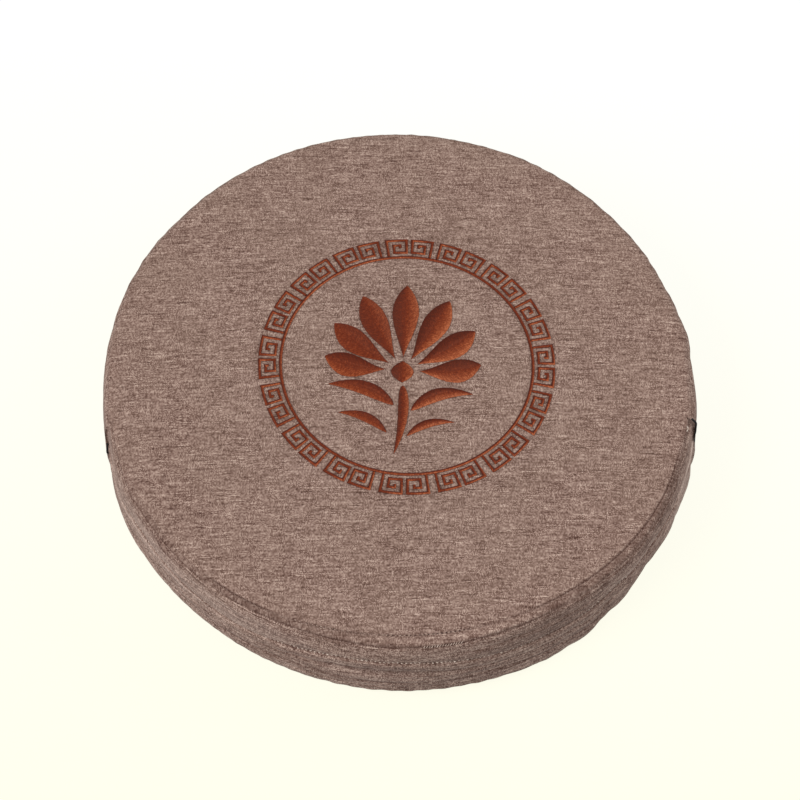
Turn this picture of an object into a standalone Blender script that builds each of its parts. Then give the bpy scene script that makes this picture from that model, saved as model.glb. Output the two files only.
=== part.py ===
"""A round boxed meditation cushion with an embroidered top panel. Metres, +Z up.

The cushion lies on its back on the floor, with -Y its front. Its side band is in two parts: round the
front it is a gusset of two strips, the upper one with a stitched flap that covers a zip, and round the
back it is one plain strip. The ends of the zip show where the two parts of the band meet. The top panel
carries a ring of paired square spirals on a circle line, round a lotus flower, all in satin stitch.
"""

import math
from collections import namedtuple

import bmesh
import bpy
import numpy as np

MM = 0.001
COLLECTION = "meditation_cushion"

# ---- The filled cushion ----
RADIUS = 0.225              # nominal radius of the side band
RIM_HEIGHT = 0.080          # at this height the unevenness of the rim holds in full
CROWN = 0.008               # rise of the top panel from its edge to its middle
TOP_RINGS = (0.18, 0.36, 0.54, 0.70, 0.84, 0.94)    # shares of the panel edge's radius
UNDERSIDE_RINGS = (0.75, 0.4)                       # shares of the flat underside's radius
STATION_STEP = 4.5          # degrees between the sections round the cushion

# ---- The two joints in the side band, as azimuths in degrees from +X towards +Y ----
JOINT_LEFT = 193.8
JOINT_RIGHT = 354.5
JOINT_STEP = 0.002          # the plain strip stands this far outside the zip gusset at a joint
JOINT_FADE = 9.0            # degrees over which that step dies away behind the joint
JOINT_WIDTH = 0.25          # degrees that the step itself takes
JOINT_FOOT = 0.030          # below this height the step dies away
STITCH_DIP = 0.0012         # depth of the topstitching's groove, which is sewn only round the front

# Millimetres by which the stuffed cover leaves a true round, at azimuths in degrees: its radius at the
# rim and at the foot, its panel's edge inwards, and the zip flap upwards.
Uneven = namedtuple("Uneven", "azimuth rim foot stitch flap")
UNEVEN = [
    Uneven(0, -3.8, 2.6, -2.1, 0.0),
    Uneven(20, -2.2, -1.4, 0.2, 0.0),
    Uneven(40, -1.5, 0.4, 0.1, 0.0),
    Uneven(60, 0.1, 0.0, -0.1, 0.0),
    Uneven(80, 0.5, 0.6, -0.1, 0.0),
    Uneven(100, 0.6, 0.1, 0.4, 0.0),
    Uneven(120, 0.2, 0.2, 0.0, 0.0),
    Uneven(140, -1.0, -0.4, -0.3, 0.0),
    Uneven(160, -0.9, -0.4, -0.5, 0.0),
    Uneven(180, -1.8, -2.8, -1.0, -2.0),
    Uneven(200, -2.5, -0.2, -1.9, -4.0),
    Uneven(220, 0.0, -0.9, -2.3, -1.6),
    Uneven(240, 0.2, -0.8, -2.2, -2.4),
    Uneven(260, -0.4, 1.0, 0.4, 3.4),
    Uneven(280, 0.5, 2.1, 2.6, 2.2),
    Uneven(300, -0.9, 3.0, 0.8, -2.4),
    Uneven(320, 1.0, 0.0, 0.6, -2.0),
    Uneven(340, -2.2, 1.0, -2.8, 1.5),
]

# Narrow places where the cover is pulled out, or drawn in, at its rim and at its foot, in millimetres. The
# spread is in degrees.
Pull = namedtuple("Pull", "azimuth spread rim foot")
PULLS = [
    Pull(2, 5.0, -1.0, 0.0),
    Pull(14, 3.5, 1.8, 0.0),
    Pull(27, 4.0, -0.7, 0.0),
    Pull(66, 9.0, 0.7, 0.0),
    Pull(90, 12.0, 0.6, 0.0),
    Pull(143, 4.0, -0.8, 0.0),
    Pull(171, 5.0, -0.9, -0.4),
    Pull(188, 7.0, -1.3, -0.9),
    Pull(270, 12.0, 0.0, 1.1),
    Pull(297, 6.0, 0.0, 0.9),
    Pull(311, 3.5, 0.0, 2.0),
    Pull(321, 3.0, 0.0, 1.0),
    Pull(351, 4.5, 0.3, 1.8),
]

# The cushion's outline in section from the panel's edge to the underside, in millimetres: inset from
# RADIUS, height above the floor, and how far the zip gusset alone stands out. The last column names the
# column of UNEVEN that moves the row, besides rim and foot.
Section = namedtuple("Section", "place inset height zipped moved_by")
SECTION = [
    Section("panel edge", 9.4, 79.9, 0.0, "stitch"),
    Section("topstitching", 7.7, 79.9, 0.0, "stitch"),
    Section("rim roll, inner side", 6.2, 79.8, 0.0, "stitch"),
    Section("rim roll, top", 3.9, 79.6, 0.0, None),
    Section("rim roll, shoulder", 1.9, 78.2, 0.0, None),
    Section("rim seam", 1.5, 76.2, 0.0, None),
    Section("band head", 0.1, 74.2, 0.0, None),
    Section("upper strip", -1.0, 69.0, 0.0, None),
    Section("upper strip, fullest", -1.5, 61.0, 0.4, None),
    Section("above the flap's stitching", -1.3, 53.0, 0.3, "flap"),
    Section("flap's stitching", -1.2, 50.0, -0.8, "flap"),
    Section("flap", -1.2, 47.2, 0.4, "flap"),
    Section("flap's lip", -1.2, 39.6, 0.9, "flap"),
    Section("under the flap", -1.2, 37.8, -1.0, "flap"),
    Section("lower strip", -1.4, 33.0, 0.0, None),
    Section("lower strip, crease", -1.3, 23.5, -0.8, None),
    Section("lower strip, foot", -0.9, 14.0, 0.0, None),
    Section("band foot", 0.1, 8.0, 0.0, None),
    Section("foot seam", 1.9, 4.6, 0.0, None),
    Section("foot roll", 3.4, 2.3, 0.0, None),
    Section("underside edge", 6.6, 0.6, 0.0, None),
    Section("underside", 11.0, 0.0, 0.0, None),
]

# ---- The zip's two ends: round black tape that lies in the joints ----
ZIP_THICKNESS = 0.0015
ZIP_GAP = 0.0003            # clear of the cloth beneath it
ZIP_START_ROW = 4           # the row of SECTION from which it may run down
ZIP_RIGHT_SPAN = (0.090, 0.044)     # heights of its first and last points
ZIP_LEFT_SPAN = (0.047, 0.032)
ZIP_POINTS = 22
ZIP_BRIDGE_HEIGHT = 0.076   # below it the tape bridges the band's hollows

# ---- The embroidery ----
STITCH_GAP = 0.0003         # the stitching's underside above the cloth
LINE_THICKNESS = 0.0008
RING_CENTRE = (0.0042, 0.0074)
RING_LINE_RADIUS = 0.0953   # middle of the circle line
RING_LINE_WIDTH = 0.0024
RING_POINTS = 96
KEY_PAIRS = 16
FIRST_PAIR = 91.8           # azimuth of the first pair's middle, in degrees
PAIR_DRIFT = 1.0            # the pairs crowd towards the back by this many degrees at each side
KEY_WIDTH = 0.0146          # between the middles of a key's outer strokes
KEY_HEIGHT = 0.0158         # circle line to the key's outermost stroke, middle to middle
KEY_STROKE = 0.0019
TWIN_GAP = 0.0044           # between the two inner strokes of a pair, middle to middle
# A left key's path, as shares of KEY_WIDTH and KEY_HEIGHT: it leaves the circle line and winds inwards.
KEY_PATH = [(0, 0), (0, 1), (1, 1), (1, 0.28), (0.34, 0.28), (0.34, 0.71), (0.67, 0.71), (0.67, 0.55)]

# The lotus: satin strokes from root to tip, in millimetres from MOTIF_CENTRE. A bow bends the stroke to
# its left, and widest is the share of its length where it is fullest.
MOTIF_CENTRE = (0.0011, 0.0042)
Stroke = namedtuple("Stroke", "name root tip bow width widest")
PETAL_HEART = (0.0, -6.0)   # the point that the petals spread from
PETAL_ROOT = 13.0           # distance of their roots from it
PETAL_SPREAD = 26.5         # degrees from one petal to the next
PETAL_LENGTHS = (78.0, 74.0, 67.0, 60.0)    # from the heart to the tip: middle petal, then outwards
PETAL_WIDTH = 20.0
PETAL_WIDEST = 0.62
PETAL_BOW = 1.2             # added for each step away from the middle, so that the tips turn upwards
LOW_STROKES = [
    Stroke("lotus_heart", (0.0, -14.6), (0.0, 4.0), 0.0, 17.0, 0.5),
    Stroke("lotus_stem", (1.0, -17.5), (-3.0, -76.0), 3.0, 8.0, 0.30),
    Stroke("lotus_leaf_left", (-5.0, -34.0), (-55.0, -19.0), -6.0, 12.0, 0.42),
    Stroke("lotus_leaf_right", (8.0, -38.0), (54.0, -21.0), 7.0, 11.0, 0.42),
    Stroke("lotus_ripple_left", (-9.0, -58.0), (-46.0, -43.0), -5.0, 8.0, 0.45),
    Stroke("lotus_ripple_right", (6.0, -60.0), (41.0, -46.0), 5.0, 7.0, 0.45),
]
SATIN_THICKNESS = 0.0013    # of a stroke at its fullest
SATIN_SIDES = 8
SATIN_STEPS = 12

CLOTH_COLOUR = (0.283, 0.188, 0.153, 1.0)
THREAD_COLOUR = (0.162, 0.037, 0.019, 1.0)
ZIP_COLOUR = (0.012, 0.012, 0.013, 1.0)


def clear_scene():
    for old in list(bpy.data.objects):
        bpy.data.objects.remove(old, do_unlink=True)


def make_material(name, colour, roughness):
    material = bpy.data.materials.new(name)
    material.use_nodes = True
    shader = material.node_tree.nodes["Principled BSDF"]
    shader.inputs["Base Color"].default_value = colour
    shader.inputs["Roughness"].default_value = roughness
    shader.inputs["Metallic"].default_value = 0.0
    return material


def add_object(name, data, material, collection, root):
    data.materials.append(material)
    part = bpy.data.objects.new(name, data)
    collection.objects.link(part)
    part.parent = root
    return part


# ---- The cushion's form ----

def waves_through(column, azimuths):
    """The smooth closed curve through a column of UNEVEN, as the sum of its Fourier waves."""
    values = np.array([getattr(row, column) for row in UNEVEN]) * MM
    waves = np.fft.rfft(values) / len(values)
    share = np.full(len(waves), 2.0)
    share[0] = 1.0
    share[-1] = 1.0
    turns = np.outer(np.radians(azimuths), np.arange(len(waves)))
    return np.real(np.exp(1j * turns) @ (share * waves))


def pulled(column, azimuths):
    """The sum of the bells that PULLS sets round the cover, at its rim or at its foot."""
    total = np.zeros(len(azimuths))
    for pull in PULLS:
        away = (azimuths - pull.azimuth + 180.0) % 360.0 - 180.0
        total += getattr(pull, column) * MM * np.exp(-(away / pull.spread) ** 2)
    return total


def is_zipped(azimuths):
    """1 round the front, between the two joints, and 0 round the back."""
    turned = np.asarray(azimuths) % 360.0
    return ((turned >= JOINT_LEFT) & (turned <= JOINT_RIGHT)).astype(float)


def behind_joint(azimuths):
    """How far the plain strip stands out: the whole step at a joint, fading away behind it."""
    turned = np.asarray(azimuths) % 360.0
    from_left = (JOINT_LEFT - turned) % 360.0
    from_right = (turned - JOINT_RIGHT) % 360.0
    away = np.minimum(from_left, from_right)
    return JOINT_STEP * np.exp(-(away / JOINT_FADE) ** 2) * (1.0 - is_zipped(azimuths))


def section_points(azimuths):
    """Radii and heights of the SECTION rows: one row of each array for each azimuth.

    A row's radius is RADIUS less its inset, plus the uneven offsets, which pass in a straight line from
    the foot's to the rim's with height, plus what the zip gusset and the joints add. Round the front the
    topstitching lies in its groove.
    """
    zipped = is_zipped(azimuths)
    step = behind_joint(azimuths)
    offsets = {name: waves_through(name, azimuths) for name in ("rim", "foot", "stitch", "flap")}
    for name in ("rim", "foot"):
        offsets[name] = offsets[name] + pulled(name, azimuths)
    radii = []
    heights = []
    for row in SECTION:
        share = row.height * MM / RIM_HEIGHT
        radius = RADIUS - row.inset * MM + offsets["foot"] * (1.0 - share) + offsets["rim"] * share
        height = np.full(len(zipped), row.height * MM)
        if row.moved_by == "stitch":
            radius = radius - offsets["stitch"]
        else:
            radius = radius + step * min(1.0, row.height * MM / JOINT_FOOT)
        if row.moved_by == "flap":
            height = height + offsets["flap"] * zipped
        if row.place == "topstitching":
            height = height - STITCH_DIP * zipped
        radii.append(radius + row.zipped * MM * zipped)
        heights.append(height)
    return np.array(radii).T, np.array(heights).T


def stations():
    """Azimuths of the sections: even steps, but with the joints' two edges in place of near ones."""
    joints = (JOINT_LEFT, JOINT_RIGHT)
    even = np.arange(0.0, 360.0, STATION_STEP)
    kept = [a for a in even if min(abs(a - joint) for joint in joints) > 0.5 * STATION_STEP]
    edges = [JOINT_LEFT - JOINT_WIDTH, JOINT_LEFT, JOINT_RIGHT, JOINT_RIGHT + JOINT_WIDTH]
    return np.array(sorted(kept + edges))


def top_height(x, y):
    """Height of the top panel: a shallow paraboloid that meets the panel's edge."""
    azimuths = np.degrees(np.arctan2(y, x))
    radii, heights = section_points(azimuths)
    share = np.hypot(x, y) / radii[:, 0]
    return heights[:, 0] + CROWN * (1.0 - share ** 2)


def ring_of_points(azimuths, radii, heights):
    angles = np.radians(azimuths)
    return np.stack([radii * np.cos(angles), radii * np.sin(angles), heights], axis=-1)


def cushion_mesh():
    """A loft round the cushion: closed rings of points from the crown's middle to the underside's."""
    azimuths = stations()
    radii, heights = section_points(azimuths)
    rings = []
    for share in TOP_RINGS:
        rise = heights[:, 0] + CROWN * (1.0 - share ** 2)
        rings.append(ring_of_points(azimuths, radii[:, 0] * share, rise))
    for row in range(len(SECTION)):
        rings.append(ring_of_points(azimuths, radii[:, row], heights[:, row]))
    for share in UNDERSIDE_RINGS:
        rings.append(ring_of_points(azimuths, radii[:, -1] * share, heights[:, -1]))
    count = len(azimuths)
    around = np.arange(count)
    onward = (around + 1) % count
    faces = []
    for ring in range(len(rings) - 1):
        upper = ring * count
        lower = upper + count
        faces += np.stack([upper + around, lower + around, lower + onward, upper + onward], 1).tolist()
    top = len(rings) * count
    bottom = top + 1
    last = (len(rings) - 1) * count
    faces += [(top, a, b) for a, b in zip(around.tolist(), onward.tolist())]
    faces += [(bottom, last + b, last + a) for a, b in zip(around.tolist(), onward.tolist())]
    poles = np.array([[0.0, 0.0, np.mean(heights[:, 0]) + CROWN], [0.0, 0.0, 0.0]])
    mesh = bpy.data.meshes.new("cushion")
    mesh.from_pydata(np.concatenate(rings + [poles]).tolist(), [], faces)
    mesh.shade_smooth()
    return mesh


# ---- The zip ends ----

def zip_end(name, joint, towards_front, span, material, collection, root):
    """A tape end on the zip gusset beside a joint: the section there, moved out by the tape's half.

    It bridges the section's hollows: each point is as far out as the one above it, or further.
    """
    out = 0.5 * ZIP_THICKNESS + ZIP_GAP
    azimuth = joint + towards_front * math.degrees((0.5 * ZIP_THICKNESS + ZIP_GAP) / RADIUS)
    radii, heights = section_points(np.array([azimuth]))
    full = radii[0].copy()
    full[1:] = np.maximum(full[:-1], full[1:])
    line = np.stack([np.where(heights[0] < ZIP_BRIDGE_HEIGHT, full, radii[0]), heights[0]], axis=1)
    along = np.gradient(line, axis=0)
    along /= np.linalg.norm(along, axis=1)[:, None]
    outwards = np.stack([-along[:, 1], along[:, 0]], axis=1)
    line = (line + outwards * out)[ZIP_START_ROW:]
    lengths = np.concatenate([[0.0], np.cumsum(np.linalg.norm(np.diff(line, axis=0), axis=1))])
    ends = np.interp([-height for height in span], -line[:, 1], lengths)
    places = np.linspace(ends[0], ends[1], ZIP_POINTS)
    track = np.stack([np.interp(places, lengths, line[:, k]) for k in (0, 1)], axis=1)
    curve = bpy.data.curves.new(name, "CURVE")
    curve.dimensions = "3D"
    curve.bevel_depth = 0.5 * ZIP_THICKNESS
    curve.bevel_resolution = 1
    curve.use_fill_caps = True
    spline = curve.splines.new("POLY")
    spline.points.add(len(track) - 1)
    points = ring_of_points(np.full(len(track), azimuth), track[:, 0], track[:, 1])
    for point, place in zip(spline.points, points):
        point.co = (*place, 1.0)
    return add_object(name, curve, material, collection, root)


# ---- The embroidery's forms ----

def drape(mesh, lift):
    """Raises a flat piece onto the top panel: each point goes up by the panel's height and the lift."""
    points = np.empty(len(mesh.vertices) * 3)
    mesh.vertices.foreach_get("co", points)
    points = points.reshape(-1, 3)
    points[:, 2] += top_height(points[:, 0], points[:, 1]) + lift
    mesh.vertices.foreach_set("co", points.ravel())
    mesh.update()


def flat_piece(name, outlines, thickness, material, collection, root):
    """A flat piece between closed outlines, the first its edge and any other a hole, on the panel."""
    curve = bpy.data.curves.new(name, "CURVE")
    curve.dimensions = "2D"
    curve.fill_mode = "BOTH"
    curve.extrude = 0.5 * thickness
    for outline in outlines:
        spline = curve.splines.new("POLY")
        spline.points.add(len(outline) - 1)
        spline.use_cyclic_u = True
        for point, (x, y) in zip(spline.points, outline):
            point.co = (x, y, 0.0, 1.0)
    flat = bpy.data.objects.new(name + "_outline", curve)
    collection.objects.link(flat)
    graph = bpy.context.evaluated_depsgraph_get()
    mesh = bpy.data.meshes.new_from_object(flat.evaluated_get(graph))
    bpy.data.objects.remove(flat)
    welded = bmesh.new()
    welded.from_mesh(mesh)
    bmesh.ops.remove_doubles(welded, verts=welded.verts, dist=1e-6)
    bmesh.ops.recalc_face_normals(welded, faces=welded.faces)
    welded.to_mesh(mesh)
    welded.free()
    drape(mesh, STITCH_GAP + 0.5 * thickness)
    mesh.name = name
    return add_object(name, mesh, material, collection, root)


def circle_points(radius, count):
    angles = np.linspace(0.0, 2.0 * math.pi, count, endpoint=False)
    return np.stack([radius * np.cos(angles), radius * np.sin(angles)], axis=1) + RING_CENTRE


def ribbon(path, width):
    """Outline of a band of even width along a path with mitred corners: out along one side, back."""
    path = np.asarray(path, dtype=float)
    steps = np.diff(path, axis=0)
    steps /= np.linalg.norm(steps, axis=1)[:, None]
    sides = np.stack([-steps[:, 1], steps[:, 0]], axis=1)
    before = np.vstack([sides[:1], sides])
    after = np.vstack([sides, sides[-1:]])
    mitre = before + after
    mitre /= np.sum(mitre * before, axis=1)[:, None]
    return np.concatenate([path + mitre * 0.5 * width, (path - mitre * 0.5 * width)[::-1]])


def key_outline(pair, mirrored):
    """One spiral of a pair, bent onto the ring: across becomes azimuth, and up becomes radius."""
    across = np.array([share for share, _ in KEY_PATH]) * KEY_WIDTH
    up = np.array([share for _, share in KEY_PATH]) * KEY_HEIGHT
    up[0] = 0.5 * RING_LINE_WIDTH + STITCH_GAP
    flat = ribbon(np.stack([across, up], axis=1), KEY_STROKE)
    from_middle = KEY_WIDTH + 0.5 * TWIN_GAP - flat[:, 0]
    if mirrored:
        from_middle = -from_middle
    middle_radius = RING_LINE_RADIUS + 0.5 * KEY_HEIGHT
    azimuth = FIRST_PAIR + pair * 360.0 / KEY_PAIRS
    azimuth += PAIR_DRIFT * math.cos(math.radians(azimuth))
    angle = math.radians(azimuth) + from_middle / middle_radius
    radius = RING_LINE_RADIUS + flat[:, 1]
    return np.stack([radius * np.cos(angle), radius * np.sin(angle)], axis=1) + RING_CENTRE


def petal_strokes():
    """The petals fan out from the heart: one upright, then three to each side, each a little shorter."""
    places = [("lotus_petal_middle", 0)]
    for order in range(1, len(PETAL_LENGTHS)):
        places += [(f"lotus_petal_left_{order}", order), (f"lotus_petal_right_{order}", -order)]
    strokes = []
    for name, order in places:
        angle = math.radians(90.0 + order * PETAL_SPREAD)
        aim = np.array([math.cos(angle), math.sin(angle)])
        root = PETAL_HEART + aim * PETAL_ROOT
        tip = PETAL_HEART + aim * PETAL_LENGTHS[abs(order)]
        strokes.append(Stroke(name, root, tip, order * PETAL_BOW, PETAL_WIDTH, PETAL_WIDEST))
    return strokes


def satin_stroke(stroke, material, collection, root):
    """A raised stroke, from a sphere: its pole axis becomes the bowed spine, its girth a low dome.

    At share s of the length the half-width is half the width times sin(pi s^q)^0.8, where q puts the
    fullest place at s = widest, and the dome is round above and flat below.
    """
    ball = bmesh.new()
    bmesh.ops.create_uvsphere(ball, u_segments=SATIN_SIDES, v_segments=SATIN_STEPS, radius=1.0)
    mesh = bpy.data.meshes.new(stroke.name)
    ball.to_mesh(mesh)
    ball.free()
    unit = np.empty(len(mesh.vertices) * 3)
    mesh.vertices.foreach_get("co", unit)
    unit = unit.reshape(-1, 3)
    latitude = np.arccos(np.clip(unit[:, 2], -1.0, 1.0))
    share = latitude / math.pi
    girth = np.maximum(np.hypot(unit[:, 0], unit[:, 1]), 1e-9)
    power = math.log(0.5) / math.log(stroke.widest)
    fullness = np.clip(np.sin(math.pi * share ** power), 0.0, 1.0) ** 0.8
    fullness[girth < 1e-6] = 0.0
    start = np.array(stroke.root)
    reach = np.array(stroke.tip) - start
    left = np.array([-reach[1], reach[0]]) / np.hypot(*reach)
    bow = 4.0 * share * (1.0 - share) * stroke.bow
    across = 0.5 * stroke.width * fullness * unit[:, 0] / girth
    plan = start + share[:, None] * reach + (bow + across)[:, None] * left
    dome = SATIN_THICKNESS * np.sqrt(fullness) * np.maximum(unit[:, 1] / girth, 0.0)
    placed = np.column_stack([plan * MM + MOTIF_CENTRE, dome])
    mesh.vertices.foreach_set("co", placed.ravel())
    solid = bmesh.new()
    solid.from_mesh(mesh)
    bmesh.ops.recalc_face_normals(solid, faces=solid.faces)
    solid.to_mesh(mesh)
    solid.free()
    drape(mesh, STITCH_GAP)
    return add_object(stroke.name, mesh, material, collection, root)


def centre_on_floor(root, cushion):
    """Moves the whole part so that the middle of the cushion's box in plan is over the origin."""
    points = np.empty(len(cushion.data.vertices) * 3)
    cushion.data.vertices.foreach_get("co", points)
    points = points.reshape(-1, 3)
    middle = 0.5 * (points.min(axis=0) + points.max(axis=0))
    root.location = (-middle[0], -middle[1], 0.0)


def main():
    clear_scene()
    collection = bpy.data.collections.new(COLLECTION)
    bpy.context.scene.collection.children.link(collection)
    root = bpy.data.objects.new("cushion_root", None)
    collection.objects.link(root)
    cloth = make_material("linen_cloth", CLOTH_COLOUR, 0.9)
    thread = make_material("satin_thread", THREAD_COLOUR, 0.5)
    tape = make_material("zip_tape", ZIP_COLOUR, 0.6)

    cushion = add_object("cushion", cushion_mesh(), cloth, collection, root)
    zip_end("zip_end_left", JOINT_LEFT, 1, ZIP_LEFT_SPAN, tape, collection, root)
    zip_end("zip_end_right", JOINT_RIGHT, -1, ZIP_RIGHT_SPAN, tape, collection, root)

    inner = circle_points(RING_LINE_RADIUS - 0.5 * RING_LINE_WIDTH, RING_POINTS)
    outer = circle_points(RING_LINE_RADIUS + 0.5 * RING_LINE_WIDTH, RING_POINTS)
    flat_piece("circle_line", [outer, inner], LINE_THICKNESS, thread, collection, root)
    for pair in range(KEY_PAIRS):
        for side, mirrored in (("left", False), ("right", True)):
            name = f"key_{pair + 1:02d}_{side}"
            flat_piece(name, [key_outline(pair, mirrored)], LINE_THICKNESS, thread, collection, root)
    for stroke in petal_strokes() + LOW_STROKES:
        satin_stroke(stroke, thread, collection, root)

    centre_on_floor(root, cushion)


main()
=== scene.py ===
"""A round boxed meditation cushion with an embroidered top panel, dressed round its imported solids.

Metres, +Z up, -Y the front. Forms are worked out about the maker's own centre, the middle of the nominal
round, and the last step moves them by MOVE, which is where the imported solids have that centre.
"""

import math
from collections import namedtuple

import bmesh
import bpy
import numpy as np
from mathutils import Matrix, Vector


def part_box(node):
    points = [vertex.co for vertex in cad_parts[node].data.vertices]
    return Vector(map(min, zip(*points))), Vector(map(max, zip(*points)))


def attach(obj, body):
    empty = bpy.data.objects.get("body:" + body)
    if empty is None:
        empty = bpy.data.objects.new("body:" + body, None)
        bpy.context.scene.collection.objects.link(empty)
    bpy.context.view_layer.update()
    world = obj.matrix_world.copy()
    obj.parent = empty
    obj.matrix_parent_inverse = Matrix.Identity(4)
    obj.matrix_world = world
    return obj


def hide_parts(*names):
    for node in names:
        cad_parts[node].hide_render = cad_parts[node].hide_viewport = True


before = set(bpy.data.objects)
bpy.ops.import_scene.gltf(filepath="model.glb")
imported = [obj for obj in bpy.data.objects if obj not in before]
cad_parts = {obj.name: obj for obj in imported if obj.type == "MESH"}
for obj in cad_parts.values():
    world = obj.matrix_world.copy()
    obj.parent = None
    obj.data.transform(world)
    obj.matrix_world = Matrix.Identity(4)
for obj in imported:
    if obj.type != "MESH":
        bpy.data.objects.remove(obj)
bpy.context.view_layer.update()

MM = 0.001

# ---- The solids' named sizes, with the flap's line and a few pulls set closer to the real edges ----
RADIUS = 0.225
RIM_HEIGHT = 0.080
CROWN = 0.008
JOINT_LEFT = 193.8
JOINT_RIGHT = 354.5
JOINT_STEP = 0.002
JOINT_FADE = 9.0
JOINT_FOOT = 0.030
STITCH_DIP = 0.0013

# Uneven offsets every twenty degrees, in millimetres: outwards at the rim and at the foot, inwards at the
# topstitching, and upwards at the flap.
Uneven = namedtuple("Uneven", "azimuth rim foot stitch flap")
UNEVEN = [
    Uneven(0, -3.8, 2.6, -2.1, 0.0),
    Uneven(20, -2.2, -1.4, 0.2, 0.0),
    Uneven(40, -1.5, 0.4, 0.1, 0.0),
    Uneven(60, 0.1, 0.0, -0.1, 0.0),
    Uneven(80, 0.5, 0.6, -0.1, 0.0),
    Uneven(100, 0.6, 0.1, 0.4, 0.0),
    Uneven(120, 0.2, 0.2, 0.0, 0.0),
    Uneven(140, -1.0, -0.4, -0.3, 0.0),
    Uneven(160, -0.9, -0.4, -0.5, 0.0),
    Uneven(180, -1.8, -2.8, -1.0, -2.0),
    Uneven(200, -2.5, -0.2, -1.9, -4.0),
    Uneven(220, 0.0, -0.9, -2.3, -1.6),
    Uneven(240, 0.2, -0.8, -2.2, -4.6),
    Uneven(260, -0.4, 1.0, 0.4, 4.0),
    Uneven(280, 0.5, 2.1, 2.6, 3.7),
    Uneven(300, -0.9, 3.0, 0.8, -1.7),
    Uneven(320, 1.0, 0.0, 0.6, 2.0),
    Uneven(340, -2.2, 1.0, -2.8, 1.5),
]

# Narrow bells round the cover: azimuth and spread in degrees, millimetres outwards at rim and foot.
Pull = namedtuple("Pull", "azimuth spread rim foot")
PULLS = [
    Pull(2, 5.0, -0.8, 0.0),
    Pull(14, 3.5, 1.8, 0.0),
    Pull(27, 4.0, -0.7, 0.0),
    Pull(66, 9.0, 0.7, 0.0),
    Pull(90, 12.0, 0.6, 0.0),
    Pull(143, 4.0, -0.8, 0.0),
    Pull(171, 5.0, -0.9, -0.4),
    Pull(188, 7.0, -1.3, -0.9),
    Pull(208, 7.5, 1.8, 0.0),
    Pull(270, 12.0, 0.0, 1.1),
    Pull(302, 6.0, 0.0, 1.2),
    Pull(311, 3.5, 0.0, 2.0),
    Pull(321, 3.0, 0.0, 1.0),
    Pull(329, 3.5, 0.0, -0.9),
    Pull(338, 3.0, 0.2, 1.0),
    Pull(351, 4.5, 0.3, 1.8),
]

# The cover in section, from the panel's edge to the underside, in millimetres: inset from RADIUS, height,
# and how far the zip gusset alone stands out there. moved_by is the column of UNEVEN that moves the row.
Section = namedtuple("Section", "place inset height zipped moved_by")
SECTION = [
    Section("panel edge", 10.4, 80.0, 0.0, "stitch"),
    Section("topstitching, inner lip", 8.4, 79.9, 0.0, "stitch"),
    Section("topstitching", 7.7, 79.8, 0.0, "stitch"),
    Section("topstitching, outer lip", 7.0, 79.6, 0.0, "stitch"),
    Section("rim roll, inner side", 6.0, 79.7, 0.0, "stitch"),
    Section("rim roll, top", 4.2, 79.2, 0.0, None),
    Section("rim roll, shoulder", 2.7, 78.1, 0.0, None),
    Section("rim roll, under", 2.0, 77.0, 0.0, None),
    Section("rim seam", 2.4, 76.1, 0.0, None),
    Section("band head, lip", 0.9, 75.9, 0.0, None),
    Section("band head", -0.1, 74.4, 0.0, None),
    Section("upper strip", -1.0, 69.0, 0.0, None),
    Section("upper strip, fullest", -1.5, 61.0, 0.4, None),
    Section("above the flap's stitching", -1.4, 52.8, -0.1, "flap"),
    Section("flap's stitching", -1.2, 50.7, -1.4, "flap"),
    Section("flap, upper lip", -1.3, 48.8, 1.0, "flap"),
    Section("flap", -1.3, 46.8, 0.8, "flap"),
    Section("flap, fullest", -1.3, 43.6, 0.9, "flap"),
    Section("flap's lip", -1.2, 39.8, 0.9, "flap"),
    Section("flap's edge", -1.2, 38.8, 0.4, "flap"),
    Section("under the flap", -1.2, 38.2, -2.0, "flap"),
    Section("lower strip, head", -1.3, 36.2, -0.9, None),
    Section("lower strip", -1.4, 32.0, 0.1, None),
    Section("lower strip, crease", -1.3, 23.5, -0.9, None),
    Section("lower strip, foot", -0.9, 15.0, 0.1, None),
    Section("band foot", 0.1, 8.0, 0.0, None),
    Section("foot lip", 1.2, 5.8, 0.0, None),
    Section("foot seam", 2.7, 4.6, 0.0, None),
    Section("foot roll", 3.0, 2.9, 0.0, None),
    Section("foot roll, under", 4.4, 1.3, 0.0, None),
    Section("underside edge", 7.0, 0.5, 0.0, None),
    Section("underside", 12.0, 0.0, 0.0, None),
]

RING_CENTRE = np.array([0.0042, 0.0074])
RING_LINE_RADIUS = 0.0953
RING_LINE_WIDTH = 0.0024
KEY_PAIRS = 16
FIRST_PAIR = 91.8
PAIR_DRIFT = 1.0
KEY_WIDTH = 0.0146
KEY_HEIGHT = 0.0158
KEY_STROKE = 0.0019
TWIN_GAP = 0.0044
KEY_PATH = [(0, 0), (0, 1), (1, 1), (1, 0.28), (0.34, 0.28), (0.34, 0.71), (0.67, 0.71), (0.67, 0.55)]
STITCH_GAP = 0.0003         # the embroidery starts this far above the cloth

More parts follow.
